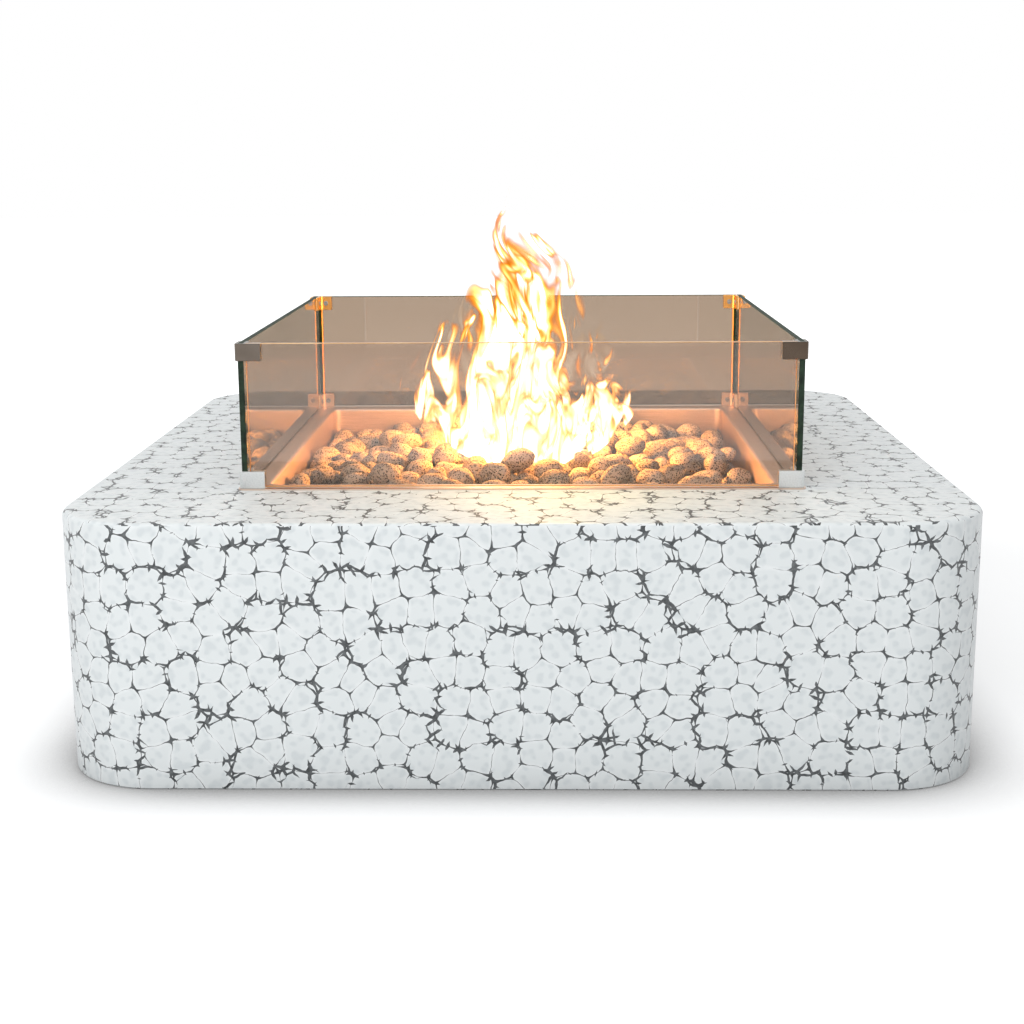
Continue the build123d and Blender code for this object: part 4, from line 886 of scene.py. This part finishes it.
@dataclass
class Flame:
    """Gas flame over the burner: a soft glowing body of gas, which isn't part of the object."""

    base_z: float = 0.345
    height: float = 0.38
    base_radius: float = 0.145
    tip_radius: float = 0.002
    taper: float = 0.6
    squash: Place = (1.0, 1.4, 0.0)
    room_across: float = 1.5
    room_up: float = 0.6
    sway: float = 0.25
    lick_mm: float = 200.0
    tongue_mm: float = 1000 / 24
    tongue_stretch: Place = (1.0, 0.4, 0.34)
    tongue_gain: float = 4.6
    tongue_start: float = -1.5
    thinning: float = 0.2
    cooling: float = -0.24
    skin: float = 0.35
    thickness: float = 150.0
    white_hot: float = 0.8
    brightness: float = 9.0
    step_rate: float = 0.15
    lamp_count: int = 3
    lamp_ring: float = 0.06
    lamp_rise: float = 0.11
    steel_lamp_rise: float = 0.065
    ledge_lamp: Place = (0.05, -0.42, 0.52)

    def build(self) -> None:
        """Makes the body of gas and the light that it throws."""
        mesh = bmesh.new()
        bmesh.ops.create_icosphere(mesh, subdivisions=4, radius=1.0)
        span = self.base_radius * self.room_across
        bmesh.ops.scale(mesh, vec=(span, span, self.height * self.room_up), verts=mesh.verts)
        bmesh.ops.translate(mesh, vec=(0, 0, self.base_z + self.height / 2), verts=mesh.verts)
        flame = show("flame", mesh)
        flame.data.materials.append(self.gas())
        flame.visible_shadow = False
        flame.visible_diffuse = False
        for lamp in self.lamps():
            lamp.hang()

    def lamps(self) -> list[FireLamp]:
        """Places the lamps: a ring in the flame, one over the front ledge and one for the steel.

        Returns:
            The lamps, not yet hung.
        """
        body = (CastBody.piece,)
        steel = ("burner_pan_smooth", "clip_lower_rear_left", "clip_lower_rear_right",
                 "clip_upper_rear_left", "clip_upper_rear_right")
        found = []
        for turn in range(self.lamp_count):
            angle = math.tau * turn / self.lamp_count
            place = (self.lamp_ring * math.cos(angle), self.lamp_ring * math.sin(angle),
                     self.base_z + self.lamp_rise)
            found.append(FireLamp(f"firelight_{turn}", place, power=15.0, colour="FFAA4A", pieces=body,
                                  reach=Reach.ALL_BUT))
        found.append(FireLamp("glow_on_front_ledge", self.ledge_lamp, power=0.9, colour="FFD86C", pieces=body,
                              reach=Reach.ONLY))
        place = (0.0, 0.0, self.base_z + self.steel_lamp_rise)
        found.append(FireLamp("glow_on_steel", place, power=20.0, colour="FFB060", pieces=steel,
                              reach=Reach.ONLY))
        return found

    def gas(self) -> bpy.types.Material:
        """Builds the glow of the burning gas.

        Returns:
            A material with a volume only: yellow-white in the middle, orange at the edges.
        """
        material = bpy.data.materials.new("burning_gas")
        material.use_nodes = True
        material.cycles.volume_step_rate = self.step_rate
        tree = material.node_tree
        tree.nodes.remove(tree.nodes["Principled BSDF"])
        place = add(tree, "ShaderNodeTexCoord").outputs["Object"]
        up = add(tree, "ShaderNodeSeparateXYZ", {0: place}).outputs["Z"]
        tall = add(tree, "ShaderNodeMapRange",
                   {"Value": up, "From Min": self.base_z, "From Max": self.base_z + self.height})
        heat = self.heat(tree, place, tall)
        dense = add(tree, "ShaderNodeMapRange",
                    {"Value": heat, "From Max": self.skin, "To Max": self.thickness},
                    interpolation_type="SMOOTHSTEP")
        cool = add(tree, "ShaderNodeMath", {0: tall, 1: self.cooling, 2: heat}, operation="MULTIPLY_ADD")
        tint = add(tree, "ShaderNodeValToRGB", {"Fac": cool},
                   [(0.0, "E07A1C"), (0.1, "F4982E"), (0.2, "FFD27C"), (0.32, "FFF8E8")])
        hot = add(tree, "ShaderNodeMapRange",
                  {"Value": cool, "From Max": self.white_hot, "To Min": 1.0, "To Max": self.brightness})
        strength = add(tree, "ShaderNodeMath", {0: dense, 1: hot}, operation="MULTIPLY")
        soak = add(tree, "ShaderNodeVolumeAbsorption", {"Color": BLACK, "Density": dense})
        glow = add(tree, "ShaderNodeEmission", {"Color": tint, "Strength": strength})
        both = add(tree, "ShaderNodeAddShader", {0: soak, 1: glow})
        tree.links.new(both.outputs["Shader"], tree.nodes["Material Output"].inputs["Volume"])
        return material

    def heat(self, tree: Tree, place: bpy.types.NodeSocket, tall: Node) -> Node:
        """Shapes the flame: a swaying taper that breaks up into tongues.

        Args:
            tree: Node tree of the material.
            place: Object coordinates.
            tall: Height in the flame, from 0 to 1.

        Returns:
            Node that gives the heat, which is above 0 inside the flame.
        """
        lick = add(tree, "ShaderNodeTexNoise", {"Vector": place, "Scale": per_metre(self.lick_mm),
                                                "Detail": 1.0, "Distortion": 0.4})
        centred = add(tree, "ShaderNodeVectorMath", {0: lick.outputs["Color"], 1: (0.5, 0.5, 0.5)},
                      operation="SUBTRACT")
        swing = add(tree, "ShaderNodeMath", {0: tall, 1: self.sway}, operation="MULTIPLY")
        drift = add(tree, "ShaderNodeVectorMath", {0: centred, "Scale": swing}, operation="SCALE")
        moved = add(tree, "ShaderNodeVectorMath", {0: place, 1: drift}, operation="ADD")
        level = add(tree, "ShaderNodeVectorMath", {0: moved, 1: self.squash}, operation="MULTIPLY")
        radius = add(tree, "ShaderNodeVectorMath", {0: level}, operation="LENGTH").outputs["Value"]
        left = add(tree, "ShaderNodeMath", {0: 1.0, 1: tall}, operation="SUBTRACT")
        taper = add(tree, "ShaderNodeMath", {0: left, 1: self.taper}, operation="POWER")
        wide = add(tree, "ShaderNodeMath", {0: taper, 1: self.base_radius, 2: self.tip_radius},
                   operation="MULTIPLY_ADD")
        share = add(tree, "ShaderNodeMath", {0: radius, 1: wide}, operation="DIVIDE")
        streak = add(tree, "ShaderNodeMapping", {"Vector": moved, "Scale": self.tongue_stretch})
        tongues = add(tree, "ShaderNodeTexNoise", {"Vector": streak, "Scale": per_metre(self.tongue_mm),
                                                   "Detail": 2.0, "Distortion": 1.5})
        body = add(tree, "ShaderNodeMath", {0: tongues, 1: self.tongue_gain, 2: self.tongue_start},
                   operation="MULTIPLY_ADD")
        thin = add(tree, "ShaderNodeMath", {0: tall, 1: self.thinning, 2: share}, operation="MULTIPLY_ADD")
        return add(tree, "ShaderNodeMath", {0: body, 1: thin}, operation="SUBTRACT")


@dataclass(frozen=True)
class Softbox:
    """A square area lamp, turned to the object."""

    name: str
    place: Place
    size: float
    power: float
    aim: Place = (0.0, 0.0, 0.2)

    def hang(self) -> None:
        """Hangs the lamp, which no mirror shows."""
        light = bpy.data.lights.new(self.name, "AREA")
        light.size = self.size
        light.energy = self.power
        lamp = bpy.data.objects.new(self.name, light)
        lamp.location = self.place
        lamp.rotation_euler = (Vector(self.aim) - lamp.location).to_track_quat("-Z", "Y").to_euler()
        lamp.visible_glossy = False
        bpy.context.scene.collection.objects.link(lamp)


@dataclass
class Studio:
    """Floor, soft light and camera."""

    lens_px: float = 1658.2
    frame_px: float = 1024.0
    sensor_mm: float = 36.0
    view_end: float = 60.0
    eye: Place = (0.0363, -2.645, 0.8095)
    pitch: float = 0.2121
    yaw: float = -0.0218
    roll: float = -0.006
    ambient: float = 0.54
    floor_size: float = 20.0
    shade_reach: float = 0.12
    white_span: Span = (1.1, 2.4)
    white_near: float = 0.46
    # Painted contact shadow: where and how far the floor's white lift is dimmed near the object.
    painted_shadow_span: Span = (0.5, 0.74)
    painted_shadow_dim: float = 0.62
    softboxes: tuple[Softbox, ...] = (
        Softbox("front_left_softbox", (-1.2, -4.0, 2.3), size=2.4, power=82.0),
        Softbox("overhead_softbox", (-0.4, 0.4, 3.4), size=2.6, power=22.0),
    )

    def build(self) -> None:
        """Sets up the whole studio."""
        bpy.context.scene.view_settings.view_transform = "Standard"
        self.floor()
        self.world()
        for softbox in self.softboxes:
            softbox.hang()
        self.camera()

    def floor(self) -> None:
        """Lays a floor that is white to the eye except near the object, where a shadow is painted into it."""
        mesh = bmesh.new()
        bmesh.ops.create_grid(mesh, x_segments=1, y_segments=1, size=self.floor_size)
        floor = show("floor", mesh)
        floor.data.materials.append(self.pale_floor())

    def pale_floor(self) -> bpy.types.Material:
        """Builds the floor's finish, which fades to plain white away from the object and has a painted shadow
        near it.

        Returns:
            The material.
        """
        material = bpy.data.materials.new("pale_studio_floor")
        material.use_nodes = True
        tree = material.node_tree
        shader = tree.nodes["Principled BSDF"]
        shader.inputs["Roughness"].default_value = 0.9
        shader.inputs["Specular IOR Level"].default_value = 0.0
        openness = add(tree, "ShaderNodeAmbientOcclusion", {"Distance": self.shade_reach},
                       samples=8).outputs["AO"]
        # Painted shadow: the floor's colour darkens where ambient occlusion finds the object close by.
        painted_shadow_tint = add(tree, "ShaderNodeValToRGB", {"Fac": openness}, [(0.45, "2E2F30"), (0.98, "D9DADB")])
        tree.links.new(painted_shadow_tint.outputs["Color"], shader.inputs["Base Color"])
        place = add(tree, "ShaderNodeTexCoord").outputs["Object"]
        away = add(tree, "ShaderNodeVectorMath", {0: place}, operation="LENGTH").outputs["Value"]
        far = add(tree, "ShaderNodeMapRange",
                  {"Value": away, "From Min": self.white_span[0], "From Max": self.white_span[1],
                   "To Min": self.white_near}, interpolation_type="SMOOTHSTEP")
        # Painted contact shadow: the white lift is dimmed where the object is closest.
        painted_contact_shadow = add(tree, "ShaderNodeMapRange",
                    {"Value": openness, "From Min": self.painted_shadow_span[0], "From Max": self.painted_shadow_span[1],
                     "To Min": self.painted_shadow_dim}, interpolation_type="SMOOTHSTEP")
        lift = add(tree, "ShaderNodeMath", {0: self.seen(tree), 1: far}, operation="MULTIPLY")
        lift = add(tree, "ShaderNodeMath", {0: lift, 1: painted_contact_shadow}, operation="MULTIPLY")
        glow = add(tree, "ShaderNodeEmission", {"Color": WHITE, "Strength": lift})
        both = add(tree, "ShaderNodeAddShader", {0: shader, 1: glow})
        tree.links.new(both.outputs["Shader"], tree.nodes["Material Output"].inputs["Surface"])
        return material

    @staticmethod
    def seen(tree: Tree) -> Node:
        """Tells the rays that look at a thing straight, in a mirror or through glass.

        Args:
            tree: Node tree that gets the nodes.

        Returns:
            Node that gives 1 for such rays.
        """
        path = add(tree, "ShaderNodeLightPath").outputs
        either = add(tree, "ShaderNodeMath", {0: path["Is Camera Ray"], 1: path["Is Glossy Ray"]},
                     operation="MAXIMUM")
        return add(tree, "ShaderNodeMath", {0: either, 1: path["Is Transmission Ray"]}, operation="MAXIMUM")

    def world(self) -> None:
        """Makes a white backdrop with a softer ambient light."""
        world = bpy.data.worlds.new("studio")
        world.use_nodes = True
        bpy.context.scene.world = world
        tree = world.node_tree
        backdrop = tree.nodes["Background"]
        strength = add(tree, "ShaderNodeMapRange",
                       {"Value": self.seen(tree), "To Min": self.ambient, "To Max": 1.0})
        tree.links.new(strength.outputs["Result"], backdrop.inputs["Strength"])
        backdrop.inputs["Color"].default_value = WHITE

    def camera(self) -> None:
        """Stands the camera at the photograph's viewpoint."""
        lens = bpy.data.cameras.new("camera")
        lens.sensor_width = self.sensor_mm
        lens.lens = self.lens_px / self.frame_px * self.sensor_mm
        lens.clip_end = self.view_end
        camera = bpy.data.objects.new("camera", lens)
        ahead = Vector((math.sin(self.yaw), math.cos(self.yaw), 0))
        right = Vector((math.cos(self.yaw), -math.sin(self.yaw), 0))
        up = Vector((0, 0, math.cos(self.pitch))) + ahead * math.sin(self.pitch)
        forward = ahead * math.cos(self.pitch) - Vector((0, 0, math.sin(self.pitch)))
        side = right * math.cos(self.roll) + up * math.sin(self.roll)
        top = up * math.cos(self.roll) - right * math.sin(self.roll)
        turn = Matrix((side, top, -forward)).transposed().to_4x4()
        camera.matrix_world = Matrix.Translation(self.eye) @ turn
        bpy.context.scene.collection.objects.link(camera)
        bpy.context.scene.camera = camera


def main() -> None:
    """Builds every sub-assembly in order."""
    logging.basicConfig(level=logging.INFO, format="%(message)s")
    dress_solids(frame["record"])
    for assembly in (CastBody(), SmoothSolids(), StoneHeap(), WindGuard(), Flame(), Studio()):
        assembly.build()
        LOG.info("built %s", type(assembly).__name__)


if __name__ == "__main__":
    main()
